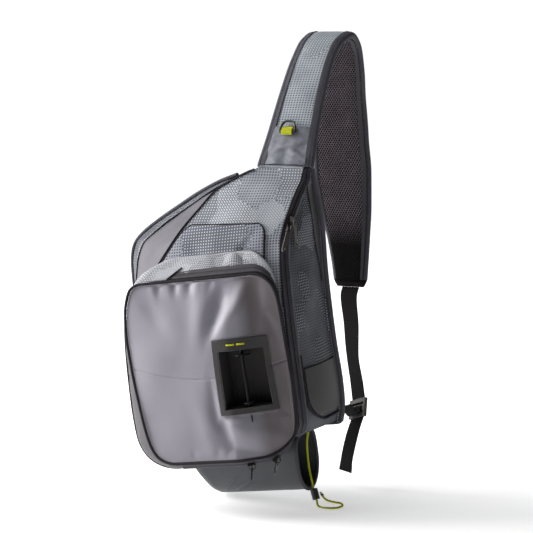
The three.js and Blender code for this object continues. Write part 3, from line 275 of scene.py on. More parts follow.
def toModel(p, leaning):  # metres in the model's frame
    p = toStanding(p) if leaning else np.asarray(p, float)
    return (p - shoulder) / 1000


# Camera, as the photograph sees the bag, and the floor and light

view = {"azimuth": 21, "elevation": 8, "distance": 2200, "lens": 106.1, "aim": (0, 0, 312)}
azimuth, elevation = math.radians(view["azimuth"]), math.radians(view["elevation"])
lookWay = np.array([
    -math.sin(azimuth) * math.cos(elevation),
    math.cos(azimuth) * math.cos(elevation),
    -math.sin(elevation),
])
cameraData = bpy.data.cameras.new("camera")
cameraData.sensor_width = 36
cameraData.lens = view["lens"]
camera = bpy.data.objects.new("camera", cameraData)
bpy.context.scene.collection.objects.link(camera)
camera.location = toModel(np.array(view["aim"], float) - lookWay * view["distance"], False)
camera.rotation_euler = Vector(lookWay).to_track_quat("-Z", "Y").to_euler()
bpy.context.scene.camera = camera


# Shader values as Python expressions

class Value:
    def __init__(self, sheet, socket):
        self.sheet = sheet
        self.socket = socket

    def maths(self, operation, *others):
        node = self.sheet.nodes.new("ShaderNodeMath")
        node.operation = operation
        for place, item in zip(node.inputs, (self, *others)):
            feed(self.sheet, place, item)
        return Value(self.sheet, node.outputs[0])

    def __add__(self, other):
        return self.maths("ADD", other)

    def __sub__(self, other):
        return self.maths("SUBTRACT", other)

    def __mul__(self, other):
        return self.maths("MULTIPLY", other)

    def __truediv__(self, other):
        return self.maths("DIVIDE", other)

    def __mod__(self, other):
        return self.maths("FLOORED_MODULO", other)

    def __neg__(self):
        return self.maths("MULTIPLY", -1.0)

    def __rsub__(self, other):
        return -self + other

    __radd__ = __add__
    __rmul__ = __mul__

    def clamped(self):
        return self.maths("MAXIMUM", 0.0).maths("MINIMUM", 1.0)

    def between(self, low, high):  # 0 below low and 1 above high
        return ((self - low) / (high - low)).clamped()


def feed(sheet, place, item):
    if isinstance(item, Value):
        sheet.links.new(item.socket, place)
    elif isinstance(item, tuple) and len(item) == 3 and len(place.default_value) == 4:
        place.default_value = (*item, 1.0)
    else:
        place.default_value = item


studio = {"floor": 3.2, "dim": 0.05, "bright": 1.04, "key": 112, "top": 30, "glow": 0.8, "lit": 1.15}


def shade(r, g, b):  # the colour that shows as this on a screen, 0 to 255, under the studio's light
    return tuple(((c / 255 + 0.055) / 1.055) ** 2.4 / studio["lit"] for c in (r, g, b))


socketNames = {
    "roughness": "Roughness",
    "sheen": "Sheen Weight",
    "sheenRough": "Sheen Roughness",
    "specular": "Specular IOR Level",
    "metallic": "Metallic",
}
finishes = {}


class Finish:
    def __init__(self, name, **constants):
        self.material = bpy.data.materials.new(name)
        self.material.use_nodes = True
        self.sheet = self.material.node_tree
        self.shader = next(n for n in self.sheet.nodes if n.type == "BSDF_PRINCIPLED")
        for key, value in constants.items():
            self.set(socketNames[key], value)
        finishes[name] = self.material

    def set(self, socket, item):
        feed(self.sheet, self.shader.inputs[socket], item)

    def node(self, kind, settings=None, output=0, **sockets):  # a socket by its name, or by i and its number
        node = self.sheet.nodes.new(kind)
        for key, value in (settings or {}).items():
            setattr(node, key, value)
        for key, item in sockets.items():
            place = node.inputs[int(key[1:])] if key[1:].isdigit() else node.inputs[key]
            feed(self.sheet, place, item)
        return Value(self.sheet, node.outputs[output])

    def mix(self, share, a, b):
        return self.node("ShaderNodeMix", {"data_type": "RGBA"}, 2, i0=share, i6=a, i7=b)

    def split(self, item, kind="ShaderNodeSeparateXYZ"):  # the parts of a vector or a colour
        node = self.sheet.nodes.new(kind)
        feed(self.sheet, node.inputs[0], item)
        return [Value(self.sheet, socket) for socket in node.outputs]

    def lay(self):  # millimetres across the cloth, from its UVs
        u, v = self.split(self.node("ShaderNodeUVMap", {"uv_map": "cloth"}))[:2]
        return u * 1000.0, v * 1000.0

    def point(self, x, y):
        return self.node("ShaderNodeCombineXYZ", X=x, Y=y)

    def place(self):  # millimetres in the model's frame
        here = self.node("ShaderNodeTexCoord", output=3)
        return self.node("ShaderNodeVectorMath", {"operation": "SCALE"}, Vector=here, Scale=1000.0)

    def noise(self, where, size, detail=2.0):
        return self.node("ShaderNodeTexNoise", Vector=where, Scale=1.0 / size, Detail=detail, Roughness=0.5)

    def bump(self, height, distance, strength=1.0):
        self.set("Normal", self.node("ShaderNodeBump", Height=height, Distance=distance, Strength=strength))

    def dots(self, u, v, pitch, radius, soft=0.35, shift=0.0, stagger=False):  # rounded squares in rows
        x, y = u / pitch[0] + shift, v / pitch[1] + shift
        row = y.maths("FLOOR")
        if stagger:
            x = x + (row % 2.0) * 0.5
        dx = (x - x.maths("FLOOR") - 0.5) * pitch[0]
        dy = (y - row - 0.5) * pitch[1]
        roundFar = (dx * dx + dy * dy).maths("SQRT")
        squareFar = dx.maths("ABSOLUTE").maths("MAXIMUM", dy.maths("ABSOLUTE"))
        far = roundFar * 0.5 + squareFar * 0.5
        return ((radius - far) / soft + 0.5).clamped()


def wave(run, pitch):  # 0 to 1, once in each pitch
    return (run * (2 * math.pi / pitch)).maths("SINE") * 0.5 + 0.5


def weave(u, v, pitch):
    warp = (u * (2 * math.pi / pitch)).maths("SINE")
    weft = (v * (2 * math.pi / pitch)).maths("SINE")
    return warp * weft * 0.5 + 0.5


def zipTape(name, tape, coil, line):  # two tapes over a coil, 12 mm wide in its UVs
    f = Finish(name, roughness=0.6, sheen=0.03, sheenRough=0.5, specular=0.25)
    u, v = f.lay()
    far = (v - 6.2).maths("ABSOLUTE")
    teeth = wave(u, 1.7)
    onCoil = far.between(2.5, 2.1)
    base = f.mix(onCoil, f.mix(f.noise(f.point(u, v), 14), coil, tape), f.mix(teeth * 0.5, coil, tape))
    # Painted shade: the dark line colour runs in the groove where the tapes meet over the coil, and along
    # both edges where they go into their seams
    base = f.mix(far.between(0.75, 0.35), base, line)
    f.set("Base Color", f.mix(far.between(5.1, 5.5), base, line))
    f.bump(weave(u, v, 0.8) * 0.5 + teeth * onCoil * 0.8, 0.00025, 0.8)


def printedCloth(name, ground, deep, dot, net, pitch=(4.0, 3.8), radius=(1.0, 1.4), patch=56, second=1.0):
    # patches of light dots on the ground, among patches of deep squares in a net
    f = Finish(name, roughness=0.72, sheen=0.06, sheenRough=0.5, specular=0.3)
    u, v = f.lay()
    warped = f.point(u / patch + v / (patch * 2.6), v / patch - u / (patch * 3.4))
    cells = f.node("ShaderNodeTexVoronoi", {"distance": "MANHATTAN"}, 1, Vector=warped, Scale=1.0)
    tone, density = f.split(cells, "ShaderNodeSeparateColor")[:2]
    light = tone.between(0.4, 0.55)
    bold = f.dots(u, v, pitch, density * (radius[1] - radius[0]) + radius[0] - light * 0.25)
    small = f.dots(u, v, pitch, (density.between(0.3, 0.7) * 0.5 + 0.15) * second, shift=0.5) * light
    base = f.mix(light, net, ground)
    base = f.mix((f.noise(f.point(u, v), 38) - 0.35).clamped(), base, deep)
    base = f.mix(small * 0.85, base, dot)
    f.set("Base Color", f.mix(bold * 0.94, base, f.mix(light, deep, dot)))
    f.set("Roughness", 0.74 - bold * 0.16)
    f.bump(weave(u, v, 1.1) * 0.5 + bold * light * 0.7 + small * 0.4, 0.00022, 0.8)


def coatedCloth(name, colour, shadow, roughness=0.5, wear=90, paintedShade=None):
    # the last argument holds painted shade: a darker colour, and the function of u and v that says where it
    # is painted
    f = Finish(name, roughness=roughness, sheen=0.08, sheenRough=0.4, specular=0.45)
    u, v = f.lay()
    broad = f.noise(f.point(u, v), wear, 3.0)
    base = f.mix(broad.between(0.3, 0.75), shadow, colour)
    f.set("Base Color", f.mix(paintedShade[1](u, v), base, paintedShade[0]) if paintedShade else base)
    f.set("Roughness", roughness - 0.05 + broad * 0.1)
    f.bump(f.noise(f.point(u, v), 1.3) * 0.6 + weave(u, v, 0.8) * 0.4, 0.00008, 0.7)


def ribbedTape(name, colour, dark, pitch=1.15, depth=0.0003):
    f = Finish(name, roughness=0.75, sheen=0.02, sheenRough=0.5, specular=0.08)
    u, v = f.lay()
    rib = wave(u, pitch)
    f.set("Base Color", f.mix((rib * 0.7 + f.noise(f.point(u, v), 14) * 0.4).clamped(), dark, colour))
    f.bump(rib * 0.8 + wave(v, 0.7) * 0.2, depth, 0.8)


def plainFinish(name, colour, other, roughness, **constants):
    grain = 1.6
    f = Finish(name, roughness=roughness, **constants)
    here = f.place()
    speck = f.noise(here, grain, 3.0)
    f.set("Base Color", f.mix(speck, other, colour))
    f.set("Roughness", roughness - 0.06 + f.noise(here, grain * 7) * 0.12)
    f.bump(speck, 0.00006, 0.6)


# The last colour is the zip's painted shade, for its groove and its seamed edges
zipTape("zipCloth", shade(86, 83, 91), shade(56, 54, 61), shade(18, 16, 20))
printedCloth("frontDots", shade(124, 128, 138), shade(72, 76, 86), shade(226, 231, 236),
             shade(176, 181, 189))
printedCloth("slipDots", shade(104, 107, 119), shade(52, 54, 66), shade(208, 214, 222),
             shade(162, 166, 177), second=0.7)
printedCloth("gussetDots", shade(156, 157, 165), shade(108, 108, 116), shade(244, 246, 249),
             shade(198, 200, 207), pitch=(3.8, 3.6))
printedCloth("strapDots", shade(130, 137, 146), shade(80, 87, 96), shade(228, 235, 240),
             shade(182, 189, 197), patch=74)
printedCloth("sideDots", shade(62, 63, 70), shade(22, 22, 28), shade(168, 174, 182), shade(100, 102, 110),
             second=0.8)
printedCloth("wingDots", shade(64, 66, 74), shade(34, 36, 44), shade(186, 190, 198), shade(104, 107, 116),
             second=0.7)
printedCloth("pipingDots", shade(84, 86, 92), shade(54, 56, 62), shade(176, 180, 185), shade(116, 120, 125),
             pitch=(3.2, 2.6), radius=(0.6, 0.9))
# The face's coated cloth has painted shade: darker and browner over its right part, from about 76 mm across,
# where the face turns from the light
coatedCloth("faceCoat", shade(156, 153, 164), shade(142, 139, 150), roughness=0.52,
            paintedShade=(shade(96, 88, 88), lambda u, v: (u + v * 0.07 - 12.2).between(64, 82) * 0.78))
coatedCloth("wingCoat", shade(92, 90, 98), shade(76, 74, 81), roughness=0.55)
# The plain gusset's cloth is a darker copy of the coated cloth: painted shade for the pocket's sides and
# underside
coatedCloth("gussetCoat", shade(80, 77, 82), shade(62, 60, 65), roughness=0.55)
coatedCloth("trimCoat", shade(60, 58, 64), shade(48, 46, 52), roughness=0.5)
coatedCloth("patchCoat", shade(142, 145, 156), shade(104, 106, 116), roughness=0.6, wear=9)
coatedCloth("sleeveCoat", shade(86, 90, 95), shade(70, 74, 78), roughness=0.5)
coatedCloth("foamSkin", shade(66, 64, 64), shade(52, 50, 50), roughness=0.62)
coatedCloth("wellCloth", shade(52, 48, 48), shade(38, 35, 35), roughness=0.7)
ribbedTape("bindingTape", shade(98, 97, 105), shade(70, 69, 76))
ribbedTape("pipingCloth", shade(58, 54, 60), shade(38, 35, 40), pitch=0.9)
ribbedTape("webbing", shade(24, 20, 23), shade(10, 8, 10), pitch=1.6, depth=0.0004)
ribbedTape("yellowCord", shade(222, 226, 60), shade(176, 178, 30), pitch=1.1, depth=0.0003)
ribbedTape("thread", shade(128, 127, 134), shade(92, 91, 98), pitch=0.8)
ribbedTape("paleThread", shade(206, 206, 210), shade(160, 160, 165), pitch=0.8)
plainFinish("plastic", shade(58, 56, 58), shade(46, 45, 46), roughness=0.42)
plainFinish("lockPlastic", shade(96, 88, 84), shade(74, 68, 64), roughness=0.5)
plainFinish("blackPlastic", shade(28, 26, 28), shade(16, 15, 16), roughness=0.35)
plainFinish("gunmetal", shade(92, 90, 89), shade(66, 64, 63), roughness=0.36, metallic=0.75)
plainFinish("pullMetal", shade(122, 118, 114), shade(90, 87, 83), roughness=0.42, metallic=0.6)


def netting(name, low, high, pit, paintedShadeSpan=None):  # spacer mesh with open cells
    f = Finish(name, roughness=0.9, specular=0.08)
    u, v = f.lay()
    holes = f.dots(u, v, (3.9, 3.3), 1.5, soft=0.5, stagger=True)
    base = f.mix(holes, f.mix(f.noise(f.point(u, v), 30), low, high), pit)
    # Painted shade: over the span's two distances up the cloth, the colour darkens nearly to the cells' black
    f.set("Base Color", f.mix(v.between(*paintedShadeSpan) * 0.96, base, pit) if paintedShadeSpan else base)
    f.bump((1 - holes) * 0.9 + weave(u, v, 0.8) * 0.1, 0.0009)


netting("airMesh", shade(84, 78, 86), shade(116, 108, 116), shade(5, 4, 5))
# The strap's mesh has painted shade, darkening nearly to black from 100 mm to 52 mm before its lower end
netting("strapMesh", shade(104, 96, 104), shade(140, 130, 138), shade(4, 3, 4), paintedShadeSpan=(100, 52))
print("finishes made:", len(finishes))


# Making meshes

def frameOf(points, reference):  # unit normals of a grid, on the reference's side
    down = np.gradient(points, axis=0)
    across = np.gradient(points, axis=1)
    normals = unit(np.cross(across, down))
    side = np.sign(np.sum(normals * np.asarray(reference, float)))
    return normals * (side if side else 1)


def runOf(line):  # distance along it at each point
    return np.concatenate([[0], np.cumsum(np.linalg.norm(np.diff(line, axis=0), axis=1))])


def clothUv(points, column=0):  # distances over the cloth, across from one column and up the grid
    steps = np.linalg.norm(np.diff(points, axis=1), axis=-1)
    across = np.concatenate([np.zeros((len(points), 1)), np.cumsum(steps, 1)], 1)
    across = across - across[:, [column]]
    return np.stack([across, runOf(points[:, column])[:, None] + np.zeros_like(across)], -1)


def gridFaces(rows, columns, keep=None, around=False):
    cells = columns if around else columns - 1
    keep = np.ones((rows - 1, cells), bool) if keep is None else keep
    under = rows * columns
    spot = lambda r, c, layer: layer * under + r * columns + c % columns
    kept = lambda r, c: 0 <= r < rows - 1 and (around or 0 <= c < cells) and keep[r, c % cells]
    faces = []
    for r in range(rows - 1):
        for c in range(cells):
            if not keep[r, c]:
                continue
            ring = [(r, c), (r, c + 1), (r + 1, c + 1), (r + 1, c)]
            faces.append([spot(*p, 0) for p in ring])
            faces.append([spot(*p, 1) for p in reversed(ring)])
            sides = zip(ring, ring[1:] + ring[:1])
            for (a, b), beside in zip(sides, [(r - 1, c), (r, c + 1), (r + 1, c), (r, c - 1)]):
                if not kept(*beside):
                    faces.append([spot(*a, 0), spot(*a, 1), spot(*b, 1), spot(*b, 0)])
    return faces


def ringFaces(count, sides, closed=False, base=0):  # a tube's faces, with end caps unless it is closed
    faces = []
    for r in range(count if closed else count - 1):
        here, there = base + r * sides, base + (r + 1) % count * sides
        for c in range(sides):
            beside = (c + 1) % sides
            faces.append([here + c, here + beside, there + beside, there + c])
    if not closed:
        last = base + (count - 1) * sides
        faces += [list(range(base, base + sides))[::-1], list(range(last, last + sides))]
    return faces


sharpAngle = math.radians(38)


def make(name, points, faces, finish, uv, slot, stands=(), leaning=True, second=None):
    # second holds another finish, and for each face whether it has that one
    points = np.asarray(points, float).reshape(-1, 3)
    mesh = bpy.data.meshes.new(name)
    mesh.from_pydata(toModel(points, leaning).tolist(), [], [list(map(int, f)) for f in faces])
    layer = mesh.uv_layers.new(name="cloth")
    order = np.zeros(len(mesh.loops), int)
    mesh.loops.foreach_get("vertex_index", order)
    layer.data.foreach_set("uv", (np.asarray(uv, float).reshape(-1, 2) / 1000)[order].ravel())
    mesh.materials.append(finishes[finish])
    if second is not None:
        mesh.materials.append(finishes[second[0]])
        mesh.polygons.foreach_set("material_index", np.asarray(second[1], np.int32))
    work = bmesh.new()
    work.from_mesh(mesh)
    bmesh.ops.recalc_face_normals(work, faces=work.faces)
    work.to_mesh(mesh)
    work.free()
    mesh.polygons.foreach_set("use_smooth", [True] * len(mesh.polygons))
    mesh.set_sharp_from_angle(angle=sharpAngle)
    mesh.update()
    thing = bpy.data.objects.new(name, mesh)
    bpy.context.scene.collection.objects.link(thing)
    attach(thing, "bag")
    if stands:
        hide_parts(*stands)
    return thing


def sheet(name, outer, inner, finish, uv=None, keep=None, around=False, **rest):  # a wall between two grids
    rows, columns = outer.shape[:2]
    points = np.concatenate([outer.reshape(-1, 3), inner.reshape(-1, 3)])
    uv = clothUv(outer) if uv is None else uv
    both = np.concatenate([uv.reshape(-1, 2)] * 2)
    return make(name, points, gridFaces(rows, columns, keep, around), finish, both, **rest)


def spline(points, count, closed=False):  # centripetal, with points spaced evenly along it
    p = np.array(points, float)
    if closed:
        p = np.vstack([p[-1:], p, p[:2]])
    else:
        p = np.vstack([2 * p[:1] - p[1:2], p, 2 * p[-1:] - p[-2:-1]])
    line = []
    for k in range(1, len(p) - 2):
        a, b, c, d = p[k - 1:k + 3]
        gaps = [max(np.linalg.norm(w - v) ** 0.5, 1e-4) for v, w in ((a, b), (b, c), (c, d))]
        start = ((b - a) / gaps[0] - (c - a) / (gaps[0] + gaps[1]) + (c - b) / gaps[1]) * gaps[1]
        end = ((c - b) / gaps[1] - (d - b) / (gaps[1] + gaps[2]) + (d - c) / gaps[2]) * gaps[1]
        t = np.linspace(0, 1, 40, endpoint=False)[:, None]
        here, hereSlope, there, thereSlope = hermite(t)
        line.append(here * b + hereSlope * start + there * c + thereSlope * end)
    line = np.vstack([*line, p[-2:-1]])
    return evenly(line, count, closed)


def evenly(line, count, closed=False):
    run = runOf(line)
    wanted = np.linspace(0, run[-1], count + 1 if closed else count)
    wanted = wanted[:-1] if closed else wanted
    return np.stack([np.interp(wanted, run, line[:, k]) for k in range(3)], -1)



def sweepFrames(line, closed=False, hint=None):
    if closed:
        ahead, behind = np.roll(line, -1, 0), np.roll(line, 1, 0)
    else:
        ahead, behind = np.vstack([line[1:], line[-1:]]), np.vstack([line[:1], line[:-1]])
    way = unit(ahead - behind)
    if hint is None:
        out = np.zeros_like(line)
        guess = np.cross(way[0], [0.31, 0.2, 0.93])
        for i, w in enumerate(way):
            guess = guess - w * np.dot(guess, w)
            guess = guess / np.linalg.norm(guess)
            out[i] = guess
    else:
        hint = np.broadcast_to(np.asarray(hint, float), line.shape)
        out = unit(hint - way * np.sum(hint * way, -1, keepdims=True))
    return way, out, np.cross(way, out)


def tube(name, line, size, finish, sides=12, closed=False, hint=None, taper=None, **rest):
    # size is the radius, or half the width across and half the thickness along the hint
    wide, thick = size if isinstance(size, tuple) else (size, size)
    _, out, across = sweepFrames(line, closed, hint)
    turn = np.linspace(0, 2 * np.pi, sides, endpoint=False)
    scale = np.ones(len(line)) if taper is None else taper
    rings = (line[:, None] + across[:, None] * (np.cos(turn) * wide)[None, :, None] * scale[:, None, None]
             + out[:, None] * (np.sin(turn) * thick)[None, :, None] * scale[:, None, None])
    girth = turn * (wide + thick) / 2
    uv = np.stack(np.broadcast_arrays(runOf(line)[:, None], girth[None]), -1)
    return make(name, rings, ringFaces(len(line), sides, closed), finish, uv, **rest)


def band(name, line, across, width, thickness, finish, columns=6, **rest):
    across = unit(np.asarray(across, float))
    out = unit(np.cross(sweepFrames(line)[0], across))
    shares = np.linspace(-0.5, 0.5, columns + 1)
    middle = line[:, None] + across[:, None] * (shares * width)[None, :, None]
    half = out[:, None] * thickness / 2
    return sheet(name, middle + half, middle - half, finish, **rest)


def ripple(u, v, size, seed):  # soft uneven waves over a surface, about -1 to 1
    draw = np.random.default_rng(seed)
    total = np.zeros(np.broadcast(u, v).shape)
    for k in range(7):
        turn = draw.uniform(0, np.pi)
        wave = size * draw.uniform(0.7, 1.6)
        total += np.sin((u * np.cos(turn) + v * np.sin(turn)) * 2 * np.pi / wave + draw.uniform(0, 7)) / 2.6
    return total


def creases(x, z, rows):  # each row: x, z, turn from upright in degrees, length, width, height
    total = np.zeros(np.broadcast(x, z).shape)
    for cx, cz, turn, length, width, height in rows:
        a = math.radians(turn)
        along = (x - cx) * math.sin(a) + (z - cz) * math.cos(a)
        aside = (x - cx) * math.cos(a) - (z - cz) * math.sin(a)
        total += height * np.exp(-((aside / width) ** 2)) * np.exp(-((along / (length / 2)) ** 2))
    return total


# The cord comes first: it hangs across the sleeve's mouth and lies in a loop on the floor

cord = {
    "radius": 1.5,
    "ground": -2,
    "exit": (107.5, -66),
    "drop": [(85, -68, 85), (86.5, -70, 69), (89.5, -71, 48), (95, -73, 27)],
    "loop": [(106, -80), (122, -84), (133, -78), (136, -66), (130, -57), (121, -55), (109, -50), (99, -38),
             (95, -31)],
    "lockLength": 15,
}
cordStart = toStanding(at(*cord["exit"], body["floorBottom"] - 2 * body["seamGap"]))
cordDrop = np.array([cordStart, *cord["drop"]], float)
cordLoop = np.array([(x, y, cord["ground"] + cord["radius"]) for x, y in cord["loop"]], float)
lockAt = lerp(cordDrop[-1], cordLoop[0], 0.45)
lockWay = unit(cordLoop[0] - cordDrop[-1])
inLock = [lockAt + lockWay * share * cord["lockLength"] for share in (-0.55, 0.55)]
cordLine = spline(np.vstack([cordDrop[:-1], *[p[None] for p in inLock], cordLoop]), 150)
cordPiece = tube("retention_cord_braid", cordLine, cord["radius"], "yellowCord", sides=10, leaning=False,
                 stands=["retention_cord"], slot="yellow_cord")
list(toModel(cordStart, False))
toModel(cordLine, False).tolist()


# The body's walls, in printed and coated cloth

# A fold's row: place along the fold axis, height, turn from upright in degrees, length, width, rise
wallSettings = {
    "front": {
        "finish": "frontDots",
        "slot": "dot_cloth",
        "column": -1,
        "columns": 44,
        "wave": 1.1,
        "seed": 5,
        "foldAxis": 0,
        "foldStart": 0,
        "folds": [
            (60, 400, 80, 80, 9, 0.9),
            (20, 385, 60, 70, 9, -0.9),
            (70, 350, 15, 60, 8, 0.8),
        ],
    },
    "wing": {
        "finish": "wingCoat",
        "slot": "coated_cloth",
        "column": 0,
        "columns": 40,
        "wave": 1.3,
        "seed": 4,
        "foldAxis": 0,
        "foldStart": 0,
        "folds": [
            (-112, 250, 62, 70, 5, -3.0),
            (-118, 262, 62, 70, 6, 2.4),
            (-100, 300, 55, 60, 7, -1.6),
            (-80, 345, 50, 70, 8, 1.5),
        ],
    },
    "side": {
        "finish": "sideDots",
        "slot": "dark_dot_cloth",
        "column": 0,
        "columns": 40,
        "wave": 1.2,
        "seed": 4,
        "foldAxis": 1,
        "foldStart": 190,
        "folds": [
            (126, 170, 80, 70, 10, 1.4),
            (128, 215, 100, 60, 9, -1.2),
            (130, 260, 75, 60, 10, 1.3),
            (131, 310, 105, 50, 9, -1.1),
            (136, 350, 70, 40, 9, 1.0),
        ],
    },
}
wallRises = np.linspace(0, 1, 90)
wallOutward = {"front": (0, -1, 0), "wing": (-1, -1, 0), "side": (1, -0.4, 0), "zip": (0.8, -0.6, 0)}


def wallGrid(wall, columns, inset=0.0):
    trim = 0.0008
    shares = np.clip(np.linspace(0, 1, columns + 1), trim, 1 - trim)
    return wallPoint(wall, wallRises[:, None], shares[None], inset)


for wall, s in wallSettings.items():
    outer = wallGrid(wall, s["columns"])
    inner = wallGrid(wall, s["columns"], body["cloth"])
    uv = clothUv(outer, s["column"])
    shares = np.linspace(0, 1, s["columns"] + 1)[None]
    held = np.sin(np.pi * shares) ** 0.6 * (smooth(0, 0.05, wallRises) * smooth(1, 0.96, wallRises))[:, None]
    folds = creases(outer[..., s["foldAxis"]] + s["foldStart"], outer[..., 2], s["folds"])
    lift = ripple(uv[..., 0], uv[..., 1], 70, s["seed"]) * s["wave"] * 0.6 + folds
    outer = outer + frameOf(outer, wallOutward[wall]) * (held * lift)[..., None]
    sheet(wall + "_panel_cloth", outer, inner, s["finish"], uv, stands=[wall + "_panel"], slot=s["slot"])
print("walls sewn")

# Strips: printed cloth down the wing's rear edge, and plain cloth down the side's
strip = {"start": 0.6, "thickness": 0.9, "edge": 0.001, "probe": 0.1, "end": 0.98, "wing": 25.0}
stripShares = np.linspace(0, 1, 5)


def wallStrip(name, wall, rises, widths, lift, finish, slot, fromEnd=False):
    # it lies on a wall from the wall's first edge or its last
    ends = [wallPoint(wall, rises, 1 - share if fromEnd else share)
            for share in (strip["edge"], strip["probe"])]
    length = np.linalg.norm(ends[1] - ends[0], axis=-1) / (strip["probe"] - strip["edge"])
    reach = strip["start"] + stripShares[None] * widths[:, None]
    share = np.clip(reach / length[:, None], strip["edge"], strip["end"])
    top = wallPoint(wall, rises[:, None], 1 - share if fromEnd else share)
    normals = frameOf(top, wallOutward[wall])
    sheet(name, top + normals * (lift + strip["thickness"]), top + normals * lift, finish, slot=slot)


stripRises = np.linspace(0.02, 0.985, 80)
wallStrip("wing_strip", "wing", stripRises, np.full(80, strip["wing"]), 1.2, "wingDots", "dot_cloth")
trimRises = np.linspace(0.55, 0.99, 60)
trimWidths = 4 + 12 * smooth(0.55, 0.75, trimRises)
wallStrip("side_trim", "side", trimRises, trimWidths, 1.0, "trimCoat", "coated_cloth", fromEnd=True)


def seamCord(name, line, radius, finish, slot, count=140, **rest):
    return tube(name, spline(line, count), radius, finish, sides=8, slot=slot, **rest)


# Dark cord in the seam between the wing and the front, light piping along the zip's rear edge, and at its
# front edge a dark cord that stands in for the shade in that seam
seamRises = np.linspace(0.4, 0.995, 60)
wingSeam = wallPoint("front", seamRises, 0.001) + np.array([-0.9, -0.9, 0])
seamCord("wing_seam_cord", wingSeam, 1.2, "pipingCloth", "dark_tape")
lightRises = np.linspace(0.01, 0.985, 90)
lightLine = wallPoint("side", lightRises, 0.004) + np.array([0.9, -1.0, 0])
seamCord("zip_light_piping", lightLine, 1.1, "pipingDots", "dot_cloth")
# Painted shade: a dark cord laid in the seam at the zip's front edge, where there is only the seam's shade
seamShadeLine = wallPoint("zip", lightRises, 0.0) + np.array([0.2, -0.9, 0])
seamCord("zip_seam_shade_cord", seamShadeLine, 1.3, "pipingCloth", "dark_tape")


# Main zip: two ribbed tapes that meet over the coil
def zipRelief(across):  # height over the tape at a share across it
    centre = np.abs(across - 0.52)
    groove = -0.9 * np.exp(-((centre / 0.035) ** 2))
    lips = 0.7 * np.exp(-(((centre - 0.1) / 0.07) ** 2))
    edge = 0.5 * np.exp(-(((np.abs(across - 0.5) - 0.42) / 0.05) ** 2))
    return groove + lips + edge


zipLay = 12  # millimetres across a zip in its UVs
zipShares = np.linspace(0.02, 0.98, 27)
zipTop = wallPoint("zip", wallRises[:, None], zipShares[None])
zipInner = wallPoint("zip", wallRises[:, None], zipShares[None], body["cloth"])
zipNormals = frameOf(zipTop, wallOutward["zip"])
zipTop = zipTop + zipNormals * (zipRelief(zipShares)[None, :, None] + 0.3)
zipUv = np.stack(np.broadcast_arrays(runOf(zipTop[:, 13])[:, None], zipShares[None] * zipLay), -1)
sheet("main_zip_band", zipTop, zipInner, "zipCloth", zipUv, stands=["main_zip_tape"], slot="dark_tape")
print("main zip laid")


# Back pad: air mesh over foam, quilted in channels
quilt = {
    "crown": 2.4,
    "drop": 1.9,
    "depth": 3.2,
    "spine": 7,
    "width": 6,
    "low": 175,
    "high": 290,
    "slope": 0.12,
}
backRises = np.linspace(0, 1, 110)
backShares = np.linspace(0, 1, 70)
backOuter = backPoint(backRises[:, None], backShares[None], 0)
backInner = backPoint(backRises[:, None], backShares[None], body["backPad"])
backUv = clothUv(backOuter, 35)
arches = [np.sin(np.pi * shares) ** 0.35 for shares in (backShares, np.clip(backRises, 0.004, 0.996))]
edge = arches[0][None] * arches[1][:, None]
backX, backZ = backOuter[..., 0], backOuter[..., 2]
channels = np.exp(-((backX / quilt["spine"]) ** 2)) * smooth(0.92, 0.8, backRises)[:, None]
for height, slope in ((quilt["low"], quilt["slope"]), (quilt["high"], -quilt["slope"])):
    channels = channels + np.exp(-(((backZ - height - backX * slope) / quilt["width"]) ** 2))
puffed = edge * quilt["crown"] - quilt["drop"] - quilt["depth"] * np.clip(channels, 0, 1)
backOuter = backOuter + at(0, puffed, 0)
backPiece = sheet("back_pad_mesh", backOuter, backInner, "airMesh", backUv, stands=["back_panel"],
                  slot="pad_mesh")

# Binding round the back's edge
binding = {"half": 3.4, "stand": 1.5, "depth": body["backPad"] * 0.55, "size": (3.1, 4.6)}
bindingOffset = binding["half"] + body["seamGap"] + binding["stand"]


def bindingAt(rise, side, sign):
    here = backPoint(rise, side, binding["depth"])
    way = backPoint(min(rise + 0.01, 1), side, 0) - backPoint(max(rise - 0.01, 0), side, 0)
    return here + unit(at(sign * way[2], 0, -sign * way[0])) * bindingOffset


def bindingCorner(side, sign):
    return backPoint(0, side, binding["depth"]) + at(sign * bindingOffset * 0.85, 0, -bindingOffset * 0.85)


bindingRises = [0.93, 0.89, 0.85, 0.8, 0.76, 0.73, 0.69, 0.6, 0.45, 0.3, 0.16, 0.08, 0.03, 0]
bottomRow = [backPoint(0, (k + 1) / 6, binding["depth"]) - at(0, 0, bindingOffset) for k in range(5)]
bindingLine = spline(np.array([
    *[bindingAt(r, 0, -1) for r in (0.955, *bindingRises)],
    bindingCorner(0, -1),
    *bottomRow,
    bindingCorner(1, 1),
    *[bindingAt(r, 1, 1) for r in (*bindingRises[::-1], 0.965, 0.99)],
    bindingAt(1, 1, 1) + np.array([-3, -5, 5]),
]), 260)
tube("back_binding_tape", bindingLine, binding["size"], "bindingTape", sides=14, hint=(0, -1, 0),
     stands=["back_binding"], slot="binding")


def welt(name, wall, share, side, sign, rises, finish, slot):
    # cloth from a wall's rear edge out towards the binding
    inner = wallPoint(wall, rises, share)
    outer = np.array([bindingAt(max(r, 0), side, sign) + at(0, -1.5, min(r, 0) * body["height"])
                      for r in rises])
    across = np.linspace(0, 0.66, 6)[None, :, None]
    top = lerp(inner[:, None], outer[:, None], across)
    normals = frameOf(top, (sign, -1, 0))
    sheet(name, top + normals * 0.5, top - normals * 0.5, finish, slot=slot)


welt("side_welt", "side", 0.97, 1, 1, np.linspace(-0.014, 0.985, 90), "sideDots", "dark_dot_cloth")
welt("wing_welt", "wing", 0.03, 0, -1, np.linspace(-0.014, 0.945, 90), "wingDots", "dot_cloth")
print("back padded and bound")

